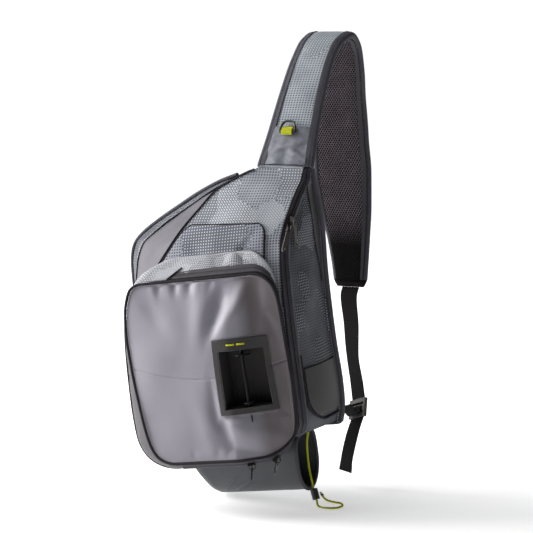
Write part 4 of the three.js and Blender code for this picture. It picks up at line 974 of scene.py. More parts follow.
# Top and floor
topShares = np.linspace(0, 1, 31)
topFront = wallPoint("front", 1.0, topShares)
topDepth = np.linspace(0, 1, 9)
topY = lerp(topFront[None, :, 1], topPanelBack, topDepth[:, None])
topGrid = at(topFront[None, :, 0], topY, topFront[None, :, 2])
topPuff = np.sin(np.pi * topDepth)[:, None] * np.sin(np.pi * topShares)[None] * 1.2
topFoot = topGrid + at(0, 0, body["seamGap"])
sheet("top_panel_cloth", topFoot + at(0, 0, body["cloth"] + topPuff), topFoot, "frontDots",
      stands=["top_panel"], slot="dot_cloth")


# The front pocket

pocket = {
    "width": 212,
    "faceBottom": 71,
    "faceTop": 306,
    "baseBottom": 86,
    "baseTop": 338,
    "topDepth": 136,
    "bottomDepth": 176,
    "rightTopDepth": 131,
    "rightBottomDepth": 138,
    "bend": 44,
    "bendPower": 1.25,
    "bulge": 8,
    "swell": {"left": 0.5, "right": 0.06, "top": 0.1, "bottom": 0.36},
    "piping": 1.9,
    "zipWidth": 11,
    "zipStart": -40,
    "backOf": 0.6 + 2 + 1.2,  # over the slip pocket
    "backThickness": 1.2,
}
pocketOutlines = Table(
    "rise faceLeft faceRight baseLeft baseRight",
    [
        (0.0, -0.235, 0.4, -0.355, 0.42),
        (0.025, -0.302, 0.46, -0.402, 0.475),
        (0.1, -0.358, 0.54, -0.443, 0.525),
        (0.19, -0.388, 0.558, -0.455, 0.532),
        (0.31, -0.415, 0.56, -0.465, 0.532),
        (0.55, -0.462, 0.549, -0.472, 0.525),
        (0.76, -0.486, 0.537, -0.445, 0.507),
        (0.86, -0.482, 0.527, -0.4, 0.485),
        (0.93, -0.465, 0.505, -0.345, 0.455),
        (0.975, -0.445, 0.465, -0.28, 0.41),
        (1.0, -0.41, 0.42, -0.2, 0.36),
    ],
)
opening = {
    "left": 34,
    "right": 92,
    "bottom": 136,
    "top": 212,
    "tilt": math.tan(math.radians(4)),
    "rise": 0.44,  # of its middle, as a share of the face's height
}
openingX, openingZ = (opening["left"] + opening["right"]) / 2, (opening["bottom"] + opening["top"]) / 2


def tilted(x, z):  # the window leans to the right as it goes down
    return x + (openingZ - np.asarray(z, float)) * opening["tilt"]


def faceY(x, z):
    drop = np.clip((pocket["faceTop"] - z) / (pocket["faceTop"] - pocket["faceBottom"]), 0, 1)
    flat = lerp(pocket["topDepth"], pocket["bottomDepth"], drop)
    right = lerp(pocket["rightTopDepth"], pocket["rightBottomDepth"], drop)
    reach = pocket["width"] * 0.54 - pocket["bend"]
    turn = np.clip((x - pocket["bend"]) / reach, 0, 1) ** pocket["bendPower"]
    across = np.clip(x / pocket["width"] + 0.48, 0, 1)
    return -lerp(flat, right, turn) - pocket["bulge"] * np.sin(np.pi * across) * np.sin(np.pi * drop)


def edgeOf(side, which, rise):
    return pocketOutlines.read(side + which, rise) * pocket["width"]


# Folds of the face, in rows as creases() reads them: gathers under its top edge, the big soft fold to the
# window, and those below
faceFolds = [
    (-54, 305, -4, 26, 5.0, -1.7),
    (-63, 303, -10, 26, 5.0, 0.9),
    (-30, 305, -4, 24, 4.6, -2.0),
    (-39, 302, -10, 30, 6.0, 1.0),
    (-8, 305, -2, 24, 4.6, -2.0),
    (-19, 302, -2, 30, 6.0, 1.1),
    (5, 302, 10, 34, 6.0, 1.2),
    (24, 303, 14, 26, 5.0, -1.4),
    (30, 262, 20, 64, 9.5, -6.4),
    (8, 262, 10, 84, 13, 2.6),
    (53, 258, 40, 58, 13, 6.6),
    (66, 286, 24, 44, 9, 2.2),
    (84, 268, 8, 64, 9, -4.2),
    (-66, 272, -30, 60, 10, -1.0),
    (-34, 258, -16, 80, 18, 1.4),
    (22, 150, -4, 54, 6.5, -3.2),
    (29, 116, -22, 54, 8, -5.6),
    (8, 112, -10, 66, 13, 2.2),
    (54, 108, -46, 62, 13, 5.0),
    (86, 100, -56, 60, 11, 1.8),
    (46, 86, -60, 50, 8, -2.6),
    (18, 72, 14, 22, 4.6, -1.8),
    (-14, 72, -6, 22, 4.6, -1.5),
    (34, 74, 20, 22, 4.6, -1.2),
    (105, 236, -26, 44, 7, -2.0),
    (113, 222, -18, 50, 6, 1.6),
    (103, 196, 22, 36, 6, -1.3),
    (104, 150, 18, 56, 8, -1.6),
    (112, 128, 12, 56, 7, 1.4),
]


def seamHeight(x):  # of the seam across the face
    return 178 + 0.0013 * (x - 22) ** 2 + np.where(x > 80, 2.0, 0.0)


def faceRelief(x, z):
    near = smooth(0, 12, z - pocket["faceBottom"]) * smooth(0, 3, pocket["faceTop"] - z)
    aside = np.abs(x - tilted(openingX, z)) - (opening["right"] - opening["left"]) / 2
    beyond = np.abs(z - openingZ) - (opening["top"] - opening["bottom"]) / 2
    clear = smooth(0, 12, np.maximum(aside, beyond) - 8)
    relief = creases(x, z, faceFolds) + ripple(x, z, 85, 4) * 0.8
    above = z - seamHeight(x)
    seam = np.exp(-((above / 0.9) ** 2)) * -1.5 + smooth(2.5, 0, above) * smooth(-1, 0.4, above) * 0.5
    return (relief * (0.25 + 0.75 * clear) + seam) * near


faceHeights = np.unique(np.round(np.concatenate([
    np.linspace(pocket["faceBottom"], opening["bottom"], 50),
    np.linspace(opening["bottom"], opening["top"], 56),
    np.linspace(opening["top"], pocket["faceTop"], 66),
]), 4))
faceRises = (faceHeights - pocket["faceBottom"]) / (pocket["faceTop"] - pocket["faceBottom"])
leftParts, middleParts, rightParts = 84, 40, 22


def faceColumns():  # upright at the face's edges, and following the window beside it
    left, right = edgeOf("face", "Left", faceRises), edgeOf("face", "Right", faceRises)
    start, end = [edgeOf("face", side, opening["rise"]) for side in ("Left", "Right")]
    hold = smooth(0, 45, np.abs(faceHeights - openingZ) - 42)
    held = openingZ + np.clip(faceHeights - openingZ, -46, 46)
    shares = [(opening[side] - start) / (end - start) for side in ("left", "right")]
    marks = [lerp(tilted(opening[side], held), lerp(left, right, share), hold)
             for side, share in zip(("left", "right"), shares)]
    parts = [
        np.linspace(left, marks[0], leftParts, endpoint=False),
        np.linspace(marks[0], marks[1], middleParts, endpoint=False),
        np.linspace(marks[1], right, rightParts + 1),
    ]
    return np.concatenate(parts).T


faceX = faceColumns()
faceZ = faceHeights[:, None] + np.zeros_like(faceX)
facePoints = at(faceX, faceY(faceX, faceZ), faceZ)
faceNormals = frameOf(facePoints, (0, -1, 0))
faceOuter = facePoints + faceNormals * faceRelief(faceX, faceZ)[..., None]
faceInner = faceOuter - faceNormals * body["cloth"]
keep = np.ones((len(faceHeights) - 1, faceX.shape[1] - 1), bool)
middles = (faceHeights[:-1] + faceHeights[1:]) / 2
inWindow = (middles > opening["bottom"]) & (middles < opening["top"])
keep[inWindow, leftParts:leftParts + middleParts] = False
sheet("pocket_face_cloth", faceOuter, faceInner, "faceCoat", np.stack([faceX, faceZ], -1), keep,
      stands=["pocket_face"], slot="coated_cloth")
print("pocket face made")


def pocketLoop(side, bottom, top):  # x and z round one outline, with its normals
    parts = [np.linspace(0, 0.12, 14), np.linspace(0.12, 0.85, 46), np.linspace(0.85, 1, 18)]
    rises = np.unique(np.concatenate(parts))
    across = np.linspace(0, 1, 41)
    left, right = edgeOf(side, "Left", rises), edgeOf(side, "Right", rises)
    heights = lerp(bottom, top, rises)
    bottomRow = np.stack([lerp(left[0], right[0], across), np.full(41, heights[0])], -1)[:-1]
    rightRow = np.stack([right, heights], -1)[:-1]
    topRow = np.stack([lerp(right[-1], left[-1], across), np.full(41, heights[-1])], -1)[:-1]
    leftRow = np.stack([left, heights], -1)[::-1][:-1]
    loop = np.vstack([bottomRow, rightRow, topRow, leftRow])
    for _ in range(3):
        loop = (np.roll(loop, 1, 0) + 2 * loop + np.roll(loop, -1, 0)) / 4
    way = np.roll(loop, -2, 0) - np.roll(loop, 2, 0)
    normals = unit(np.stack([way[:, 1], -way[:, 0]], -1))
    return loop, normals


baseLoop, baseNormals = pocketLoop("base", pocket["baseBottom"], pocket["baseTop"])
faceLoop, faceLoopNormals = pocketLoop("face", pocket["faceBottom"], pocket["faceTop"])


def gussetPoint(share, out=0.0, pick=slice(None)):
    base, face, baseOut, faceOut = baseLoop[pick], faceLoop[pick], baseNormals[pick], faceLoopNormals[pick]
    share = np.asarray(share, float)
    gap = body["seamGap"]
    basePlace, facePlace = base + baseOut * out, face + faceOut * out
    start = frontY(basePlace[:, 0], basePlace[:, 1]) - pocket["backOf"] - pocket["backThickness"] - 2 * gap
    end = faceY(facePlace[:, 0], facePlace[:, 1]) + body["cloth"] + 2 * gap
    normal = unit(lerp(baseOut, faceOut, share[:, None]))
    sideSwell = np.where(normal[:, 0] < 0, pocket["swell"]["left"], pocket["swell"]["right"])
    endSwell = np.where(normal[:, 1] < 0, pocket["swell"]["bottom"], pocket["swell"]["top"])
    swell = (sideSwell * normal[:, 0] ** 2 + endSwell * normal[:, 1] ** 2) * np.abs(end - start)
    swell = swell * np.sin(np.pi * share) + out
    x = lerp(base[:, 0], face[:, 0], share) + normal[:, 0] * swell
    z = lerp(base[:, 1], face[:, 1], share) + normal[:, 1] * swell
    return at(x, lerp(start, end, share), z)


gussetShares = np.linspace(0, 1, 30)
gussetCount = len(baseLoop)
gussetOuter = np.stack([gussetPoint(np.full(gussetCount, s)) for s in gussetShares])
gussetInner = np.stack([gussetPoint(np.full(gussetCount, s), -body["cloth"]) for s in gussetShares])
around = runOf(np.vstack([faceLoop, faceLoop[:1]]))[:-1]
# The printed part of the gusset is its top, and the rest is plain
isTop = faceLoop[:, 1] > 268
isPlain = faceLoop[:, 1] < 262
slack = np.where(isTop, 1.0, np.where(isPlain, 0.55, 0.35))
slack = np.convolve(np.concatenate([slack[-6:], slack, slack[:6]]), np.ones(13) / 13, "valid")
gussetUv = np.stack([np.broadcast_to(around, gussetOuter.shape[:2]),
                     np.linalg.norm(gussetOuter - gussetOuter[-1:], axis=-1)], -1)
gussetArch = np.sin(np.pi * gussetShares)[:, None]
topFolds = (np.sin(around / 11.0 + 1.2 * np.sin(around / 23.0))[None] * gussetArch * 2.2
            + ripple(gussetUv[..., 0], gussetUv[..., 1], 42, 9) * 1.9 * gussetArch)
outward = np.stack([baseNormals[:, 0], np.zeros(gussetCount), baseNormals[:, 1]], -1)
gussetOuter = gussetOuter + outward[None] * (topFolds * slack[None])[..., None]
lastRow = len(gussetShares) - 2  # each cell has two faces, and one more on each rim
plainFaces = [int(isPlain[c]) for r in range(lastRow + 1) for c in range(gussetCount)
              for _ in range(2 + (r == 0) + (r == lastRow))]
# Its plain faces take that darker finish, which holds painted shade
sheet("pocket_gusset_cloth", gussetOuter, gussetInner, "gussetDots", gussetUv, around=True,
      stands=["pocket_gusset"], slot="dot_cloth", second=("gussetCoat", plainFaces))

pipingPoints = faceLoop + faceLoopNormals * (pocket["piping"] + 0.6)
pipingY = faceY(faceLoop[:, 0], faceLoop[:, 1]) - pocket["piping"] * 0.3
pipingLine = at(pipingPoints[:, 0], pipingY, pipingPoints[:, 1])
tube("pocket_face_piping", evenly(np.vstack([pipingLine, pipingLine[:1]]), 260, True), pocket["piping"],
     "pipingCloth", sides=10, closed=True, stands=["pocket_piping"], slot="dark_tape")

# A second dark piping down the gusset's left side, where it swells most
leftSide = np.nonzero((faceLoop[:, 0] < -40) & (faceLoop[:, 1] < 285))[0]
leftX, leftZ = faceLoop[leftSide].T
leftSide = leftSide[np.argsort(-leftZ + np.where(leftZ < 80, leftX + 100, 0))]
leftSeam = gussetPoint(np.full(len(leftSide), 0.52), 0.9, leftSide)
seamCord("gusset_seam_cord", leftSeam, 1.3, "pipingCloth", "dark_tape")

# Zip round the gusset: along the top, down the right side and back along the bottom
middleHeight = (pocket["faceBottom"] + pocket["faceTop"]) / 2
zipHere = np.where(faceLoop[:, 1] > middleHeight, faceLoop[:, 0] > pocket["zipStart"],
                   faceLoop[:, 0] > -pocket["width"] * 0.18)
zipIndex = np.nonzero(zipHere)[0]
gussetDepth = np.linalg.norm(gussetPoint(np.zeros(gussetCount)) - gussetPoint(np.ones(gussetCount)), axis=-1)
zipSpan = np.minimum(pocket["zipWidth"] / gussetDepth[zipIndex], 0.6)
tapeShares = np.linspace(0, 1, 19)
tapeTop, tapeUnder = [np.stack([gussetPoint(0.95 - zipSpan * k, out, zipIndex) for k in tapeShares], 1)
                      for out in (2.2, 1.2)]
tapeTop = tapeTop + outward[zipIndex][:, None] * (zipRelief(tapeShares)[None, :, None] + 0.6)
tapeUv = np.stack(np.broadcast_arrays(around[zipIndex][:, None], tapeShares * zipLay), -1)

# A flap of printed cloth with a slanting end, over the zip's start
flap = {"rear": 0.62, "front": 0.97, "left": -74, "rightFront": -42, "rightRear": -30, "low": 3.6,
        "high": 4.4}
topLoop = np.nonzero((faceLoop[:, 1] > 285) & (faceLoop[:, 0] < 10))[0]
topLoop = topLoop[np.argsort(faceLoop[topLoop, 0])]


def flapGrid(out):
    grid = []
    for k in np.linspace(0, 1, 12):
        row = gussetPoint(np.full(len(topLoop), lerp(flap["front"], flap["rear"], k)), out, topLoop)
        wanted = np.linspace(flap["left"], lerp(flap["rightFront"], flap["rightRear"], k), 20)
        grid.append(np.stack([np.interp(wanted, faceLoop[topLoop, 0], row[:, a]) for a in range(3)], -1))
    return np.array(grid)


flapTop = flapGrid(flap["high"])
sheet("gusset_flap", flapTop, flapGrid(flap["low"]), "gussetDots", slot="dot_cloth")
seamCord("gusset_flap_edge", flapTop[:, -1], 0.9, "pipingCloth", "dark_tape")
sheet("pocket_zip_band", tapeTop, tapeUnder, "zipCloth", tapeUv, stands=["pocket_zip_tape"], slot="dark_tape")
print("pocket gusset, piping and zip made")

# Slip pocket on the front panel, with a dark cord sewn round its edge
slip = {
    "left": -18,
    "right": 92,
    "bottom": 240,
    "top": 378,
    "topDrop": 8,
    "thickness": 2,
    "gap": 0.6,
    "puffFrom": 225,
    "folds": [
        (72, 352, 35, 50, 7, -2.2),
        (60, 348, 35, 50, 8, 1.6),
        (-6, 345, -30, 60, 8, -1.6),
        (20, 352, 5, 50, 10, 1.2),
    ],
}
slipHeights = np.linspace(slip["bottom"], slip["top"], 60)
slipShares = np.linspace(0, 1, 46)
slipShoulder = np.maximum(0, slipHeights - (slip["top"] - 14)) ** 2 * 0.04
slipLeft = sectionCorners(riseAt(slip["left"], slipHeights))[:, 1, 0] + 3 + slipShoulder
slipX = lerp(slipLeft[:, None], (slip["right"] - slipShoulder)[:, None], slipShares[None])
slipRise = (slipHeights - slip["bottom"]) / (slip["top"] - slip["bottom"])
slipZ = slipHeights[:, None] - slip["topDrop"] * slipRise[:, None] * slipShares[None]
slipUp = np.clip((slipZ - slip["puffFrom"]) / (slip["top"] - slip["puffFrom"]), 0, 1)
slipWave = np.sin(np.pi * slipShares)[None] ** 0.5 * np.sin(np.pi * slipUp) ** 0.5
slipLift = slipWave * (2.4 + ripple(slipX, slipZ, 55, 12) * 1.1 + creases(slipX, slipZ, slip["folds"]))
slipBase = frontY(slipX, slipZ) - slip["gap"]
slipOuter = at(slipX, slipBase - slip["thickness"] - slipLift, slipZ)
slipInner = at(slipX, slipBase - slipLift * 0.6, slipZ)
sheet("slip_pocket_cloth", slipOuter, slipInner, "slipDots", np.stack([slipX, slipZ], -1),
      stands=["slip_pocket"], slot="dot_cloth")
slipEdge = np.vstack([slipOuter[::4, -1], slipOuter[-1, ::-4], slipOuter[::-4, 0]]) + np.array([0, 0.6, 0])
seamCord("slip_pocket_cord", slipEdge, 1.15, "pipingCloth", "dark_tape", count=200)
print("slip pocket made")

# Window: a frame with a deep top band, a dark well behind it, and the post
window = {
    "side": 7,
    "bottom": 7,
    "top": 15,
    "lift": 0.8,
    "thickness": 1.4,
    "ridge": 13.4,
    "postX": 60,
    "setBack": 12,
    "rows": (6, 28, 10),  # below, over and above the opening
    "columns": (6, 24, 7),
}


def frameLine(low, high, before, after, counts):
    return np.concatenate([
        np.linspace(low - before, low, counts[0], endpoint=False),
        np.linspace(low, high, counts[1], endpoint=False),
        np.linspace(high, high + after, counts[2]),
    ])


frameX = frameLine(opening["left"], opening["right"], window["side"], window["side"], window["columns"])
frameZ = frameLine(opening["bottom"], opening["top"], window["bottom"], window["top"], window["rows"])
fx, fz = np.meshgrid(frameX, frameZ)
fx = tilted(fx, fz)
framePoints = at(fx, faceY(fx, fz), fz)
frameNormals = frameOf(framePoints, (0, -1, 0))
frameLift = window["lift"] + faceRelief(fx, fz)
frameKeep = np.ones((len(frameZ) - 1, len(frameX) - 1), bool)
holeRows, holeColumns = [slice(window[way][0], sum(window[way][:2])) for way in ("rows", "columns")]
frameKeep[holeRows, holeColumns] = False
ridge = 0.5 * np.exp(-(((fz - opening["top"] - window["ridge"]) / 0.8) ** 2))
sheet("window_frame_cloth", framePoints + frameNormals * (frameLift + window["thickness"] + ridge)[..., None],
      framePoints + frameNormals * frameLift[..., None], "foamSkin", np.stack([fx, fz], -1), frameKeep,
      stands=["window_frame"], slot="charcoal_foam")


def onFace(x, z, out):
    p = at(x, faceY(np.asarray(x, float), np.asarray(z, float)), z)
    return p + at(0, -np.asarray(out, float), 0)


# Small stitches along the frame's foot, left side and top
def stitches(name, starts, ends, radius, finish, slot, leaning=True):
    turn = np.linspace(0, 2 * np.pi, 6, endpoint=False)
    points, faces, uvs = [], [], []
    for a, b in zip(starts, ends):
        line = np.array([a, lerp(a, b, 0.5), b])
        _, out, across = sweepFrames(line)
        faces += ringFaces(3, 6, base=len(points))
        for i, p in enumerate(line):
            grow = radius * (1 if i == 1 else 0.55)
            points += [p + across[i] * math.cos(t) * grow + out[i] * math.sin(t) * grow for t in turn]
            uvs += [(i * 1.5, t) for t in turn]
    make(name, points, faces, finish, uvs, slot, leaning=leaning)


stitch = {"pitch": 3.0, "length": 1.9, "out": 0.5, "radius": 0.4}
footZ = opening["bottom"] - 9.5
footX = tilted(np.arange(opening["left"] - 4, opening["right"] + 4, stitch["pitch"]), footZ)
sideZ = np.arange(opening["bottom"] - 6, opening["top"] + 14, stitch["pitch"])
topX = np.arange(opening["left"] - 6, opening["right"] + 6, stitch["pitch"])
topZ = opening["top"] + window["top"] + 1.6
stitchEnds = []
for step in (0, stitch["length"]):
    foot = onFace(footX + step, footZ, stitch["out"])
    side = onFace(tilted(opening["left"] - 8.4, sideZ + step), sideZ + step, stitch["out"])
    ends = np.concatenate([foot, side, onFace(tilted(topX + step, topZ), topZ, stitch["out"])])
    stitchEnds.append(ends + faceRelief(ends[:, 0], ends[:, 2])[:, None] * np.array([0, -1.0, 0]))
stitches("window_stitches", *stitchEnds, stitch["radius"], "paleThread", "dark_tape")
cordEnd = [onFace(69, z, 1.6) for z in (126, 121, 115)]
tube("post_cord_end", np.array(cordEnd), 1.2, "blackPlastic", sides=8, slot="hard_plastic")


def onPost(z):
    return onFace(tilted(window["postX"], z), z, -window["setBack"])


postFoot, postHead = onPost(opening["bottom"] + body["seamGap"]), onPost(opening["top"] - body["seamGap"])
postWay = unit(postHead - postFoot)
postLength = float(np.linalg.norm(postHead - postFoot))


def turned(name, base, way, profile, finish, slot, sides=28, **rest):  # profile rows: distance along, radius
    side = unit(np.cross(way, [0.3, 0.9, 0.2]))
    other = np.cross(way, side)
    turn = np.linspace(0, 2 * np.pi, sides, endpoint=False)
    rim = np.cos(turn)[:, None] * side + np.sin(turn)[:, None] * other
    rings = np.array([base + way * along + rim * radius for along, radius in profile])
    uv = np.zeros((len(profile) * sides, 2))
    make(name, rings, ringFaces(len(profile), sides), finish, uv, slot, **rest)


def discProfile(middle, radius):
    half, ease, hub = 1.3, 0.4, 2.7
    rim = [(-half, hub), (-half, radius - 2 * ease), (ease - half, radius)]
    return [(middle + d, r) for d, r in rim] + [(middle - d, r) for d, r in rim[::-1]]


turned("spool_post", postFoot, postWay, [
    (0, 2.6), *discProfile(4, 8.4), (12, 2.5), (postLength - 20, 2.5), *discProfile(postLength - 8, 11.5),
    (postLength, 3),
], "blackPlastic", "hard_plastic", stands=["tippet_post"])
bungee = {"radius": 1.15, "rise": 0.55, "left": (-12, -2), "right": (1.5, 11)}
bungeeZ = opening["top"] + window["top"] * bungee["rise"]
bungeeOut = window["lift"] + window["thickness"] + 0.8 + 1.1
for label in ("left", "right"):
    xs = tilted(window["postX"] + np.linspace(*bungee[label], 9), bungeeZ)
    dip = np.linspace(-1, 1, 9) ** 4
    tube("bungee_" + label, onFace(xs, np.full(9, bungeeZ), bungeeOut - dip), bungee["radius"], "yellowCord",
         sides=10, stands=["tippet_bungee_" + label], slot="yellow_cord")
print("window made")


# Sleeve: round below, squarer above, with two raised creases at its front

sleeve = {
    "radius": 40,
    "middle": -62,
    "mouth": 97,
    "endBottom": -36,
    "endReach": 46,
    "wall": 2,
    "binding": 2,
    "folds": [
        (-4, 17, 54, 48, 1.8, -2.2),
        (-7, 20, 54, 48, 2.6, 1.5),
        (16, 14, 62, 56, 1.8, -2.2),
        (13, 18, 62, 56, 2.6, 1.5),
        (64, 42, 10, 60, 9, -0.9),
        (-50, 44, 35, 50, 10, 0.9),
    ],
}


def sleeveRing(share, radius, count=96):
    share = np.atleast_1d(np.asarray(share, float))[:, None]
    radius = np.atleast_1d(np.asarray(radius, float))[:, None]
    turn = (np.arange(count) + 0.5) / count * 2 * np.pi
    across, high = np.cos(turn)[None], np.sin(turn)[None]
    power = np.where(high > 0, 4.0, 2.0)
    size = radius / (np.abs(across) ** power + np.abs(high) ** power) ** (1 / power)
    z = sleeve["radius"] + size * high
    closed = sleeve["endBottom"] - sleeve["endReach"] * (np.maximum(z, 0) / (2 * sleeve["radius"])) ** 1.5
    x = lerp(sleeve["mouth"], closed, share)
    return at(x, sleeve["middle"] + size * across, z)


sleeveShares = np.concatenate([np.linspace(0, 0.93, 70), [0.95, 0.965, 0.98, 0.99, 1.0]])
roundEnd = np.interp(sleeveShares, [0, 0.93, 0.985, 1.0], [1, 1, 0.93, 0.8])
sleeveOuter = sleeveRing(sleeveShares, sleeve["radius"] * roundEnd)
sx, sy, sz = sleeveOuter[..., 0], sleeveOuter[..., 1], sleeveOuter[..., 2]
sleeveRelief = creases(sx, sz, sleeve["folds"]) * smooth(-70, -88, sy)
sleeveRelief = sleeveRelief + ripple(sx, sz, 60, 21) * 0.5 * smooth(1, 0.9, sleeveShares)[:, None]
sleeveNormals = unit(sleeveOuter - at(sx, sleeve["middle"], sleeve["radius"]))
lifted = np.where(sz < 2.5, 0, 1) * smooth(0, 0.05, sleeveShares)[:, None]
sleeveOuter = sleeveOuter + sleeveNormals * (sleeveRelief * lifted)[..., None]
sleeveInner = sleeveRing(np.minimum(sleeveShares, 0.975), (sleeve["radius"] - sleeve["wall"]) * roundEnd)
sleeveUv = np.stack(np.broadcast_arrays(sx, runOf(sleeveOuter[0])[None]), -1)
rows, columns = sleeveOuter.shape[:2]
total = rows * columns


def onEndRing(face):  # whether it joins the two walls at the closed end
    inside = [i for i in face if i >= total]
    return 0 < len(inside) < len(face) and all(i % total >= total - columns for i in face)


# Each wall is closed over the closed end, in place of the ring between them
sleeveFaces = [face for face in gridFaces(rows, columns, None, True) if not onEndRing(face)]
sleeveFaces.append([total - columns + c for c in range(columns)])
sleeveFaces.append([2 * total - columns + c for c in range(columns)][::-1])
sleevePoints = np.concatenate([sleeveOuter.reshape(-1, 3), sleeveInner.reshape(-1, 3)])
make("bottle_sleeve_cloth", sleevePoints, sleeveFaces, "sleeveCoat",
     np.concatenate([sleeveUv.reshape(-1, 2)] * 2), stands=["bottle_sleeve"], slot="sleeve_cloth")
mouthLine = sleeveRing(0.0, sleeve["radius"] - sleeve["wall"] / 2)[0]
mouthLine = mouthLine + np.array([sleeve["binding"] + body["seamGap"], 0, 0])
tube("sleeve_mouth_tape", evenly(np.vstack([mouthLine, mouthLine[:1]]), 120, True), (2.9, 2.3), "bindingTape",
     sides=12, closed=True, hint=(1, 0, 0), stands=["sleeve_mouth_binding"], slot="binding")
print("sleeve made")


# Foam patch on the side wall

fly = {"thickness": 3.4, "bottom": 0.055, "top": 0.245, "front": 0.06, "rear": 0.97, "corner": 0.1}


def flyEdge(rise):
    over = fly["bottom"] + fly["corner"] - rise
    share = np.where(over > 0, np.sqrt(np.maximum(fly["corner"] ** 2 - over**2, 0)) / fly["corner"], 1)
    return lerp(fly["front"] + 0.34, fly["front"], share)


flyRises = lerp(fly["bottom"], fly["top"], np.linspace(0, 1, 40) ** 1.4)
flyShares = lerp(flyEdge(flyRises)[:, None], fly["rear"], np.linspace(0, 1, 40)[None])
flyBase = wallPoint("side", flyRises[:, None], flyShares)
flyOut = frameOf(flyBase, wallOutward["side"])
flyArch = np.sin(np.pi * np.linspace(0.03, 0.97, 40)) ** 0.3
flyLift = 1.0 + fly["thickness"] * (0.45 + 0.6 * flyArch[None] * flyArch[:, None])
sheet("fly_patch_foam", flyBase + flyOut * flyLift[..., None], flyBase + flyOut * 0.9, "foamSkin",
      stands=["fly_patch"], slot="charcoal_foam")
flyPiping = np.array([
    *[wallPoint("side", r, max(flyEdge(r) - 0.06, 0.02)) for r in (0.3, 0.25, 0.2, 0.14, 0.1, 0.07)],
    *[wallPoint("side", 0.032, s) for s in (0.45, 0.62, 0.8, 0.95)],
]) + unit(np.array([0.97, -0.2, 0])) * 2.0
tube("fly_patch_edge", spline(flyPiping, 90), 1.7, "pipingCloth", sides=10, stands=["fly_patch_piping"],
     slot="dark_tape")
print("fly patch made")


# Strap: a padded band of printed cloth outside and air mesh inside, bound along both edges

padPlaces = np.linspace(-0.007, strap["padEnd"], 190)
padAcross = np.linspace(0, 1, 25)
padTrim = 2 * strap["binding"] + 0.8 - 1.6


def crowned(shares, drop=0.34):  # half the pad's thickness, less towards its edges
    return (1 - drop * np.abs(2 * shares - 1) ** 4) * strap["pad"] / 2


def padSide(out):
    return strapPoint(padPlaces[:, None], padAcross[None], out[None], padTrim)


padOuter = padSide(crowned(padAcross))
padInner = padSide(-crowned(padAcross))
padUv = clothUv(padOuter, 12)
padWave = ripple(padUv[..., 0], padUv[..., 1], 60, 31) * 0.5 * np.sin(np.pi * padAcross)[None]
padNormals = unit(padOuter - padInner)
padOuter = padOuter + padNormals * padWave[..., None]
padPiece = sheet("strap_pad_cloth", padOuter, padInner + padNormals * 2.4, "strapDots", padUv,
                 stands=["strap_pad"], slot="dot_cloth", leaning=False)
liningOuter = padSide(2.0 - crowned(padAcross))
liningInner = padSide(-1.9 - crowned(padAcross))
liningUv = clothUv(liningInner, 12)
liningUv[..., 1] = liningUv[-1, 12, 1] - liningUv[..., 1]
sheet("strap_mesh_lining", liningInner, liningOuter, "strapMesh", liningUv, stands=["strap_lining"],
      slot="pad_mesh", leaning=False)

# Binding, edge tapes and stitches: the left binding is fuller behind the shoulder
edgeTapes = {"outer": (1, 0.3, "bindingTape"), "inner": (-1, 1.7, "trimCoat")}
edgeRows = [("left", 0.0, 1, 0.55, ["outer"]), ("right", 1.0, -1, 0, ["outer", "inner"])]
for label, share, inward, full, faces in edgeRows:
    line = strapPoint(padPlaces, share, 0.0, strap["binding"] + 0.6)
    outHint = strapPoint(padPlaces, share, 4.0) - strapPoint(padPlaces, share, 0.0)
    fuller = 1 + full * smooth(0.5, 0.6, padPlaces) * smooth(0.86, 0.8, padPlaces)
    tube("strap_binding_tape_" + label, line, (4.1, 4.6), "bindingTape", sides=16, hint=outHint,
         stands=["strap_binding_" + label], slot="binding", leaning=False, taper=fuller)
    edgeShares = np.abs(share - np.linspace(0.0, 0.09, 6))
    for face in faces:
        sign, under, finish = edgeTapes[face]
        heights = [sign * (crowned(edgeShares) + out)[None] for out in (under, under + 1)]
        low, high = [strapPoint(padPlaces[:, None], edgeShares[None], height, padTrim) for height in heights]
        sheet(f"strap_edge_{face}_{label}", high, low, finish, slot="binding", leaning=False)
    stitchRun = np.arange(0.004, strap["padEnd"] - 0.004, 0.0036)
    starts, ends = [strapPoint(stitchRun + step, share, 4.75, strap["binding"]) + at(inward * 1.61, 0, 0)
                    for step in (0, 0.0021)]
    stitches(f"strap_stitches_{label}", starts, ends, 0.42, "thread", "binding", leaning=False)
print("strap made")

# Plain patch at the strap's foot, its yellow tab and the ring
patch = {
    "start": -0.006,
    "end": 0.08,
    "inset": 5,
    "folds": [(14, -6, -60, 40, 4, 1.5), (-10, 6, 70, 36, 4, 1.3), (16, 10, 40, 30, 3, -1.2)],
}
patchPlaces = np.linspace(patch["start"], patch["end"], 40)[:, None]
patchShares = np.linspace(0, 1, 25)
patchCrown = crowned(patchShares, 0.28) + 0.4
patchTrim = padTrim + patch["inset"]
patchBase = strapPoint(patchPlaces, patchShares[None], patchCrown[None], patchTrim)
patchUv = clothUv(patchBase)
patchOut = unit(strapPoint(patchPlaces, patchShares[None], patchCrown[None] + 2, patchTrim) - patchBase)
patchU, patchV = patchUv[..., 0], patchUv[..., 1]
patchWave = 1.4 + 0.7 * ripple(patchU, patchV, 26, 44) + creases(patchU - 34, patchV - 20, patch["folds"])
sheet("strap_patch_cloth", patchBase + patchOut * np.maximum(patchWave, 0.6)[..., None], patchBase,
      "patchCoat", patchUv, stands=["strap_patch"], slot="coated_cloth", leaning=False)

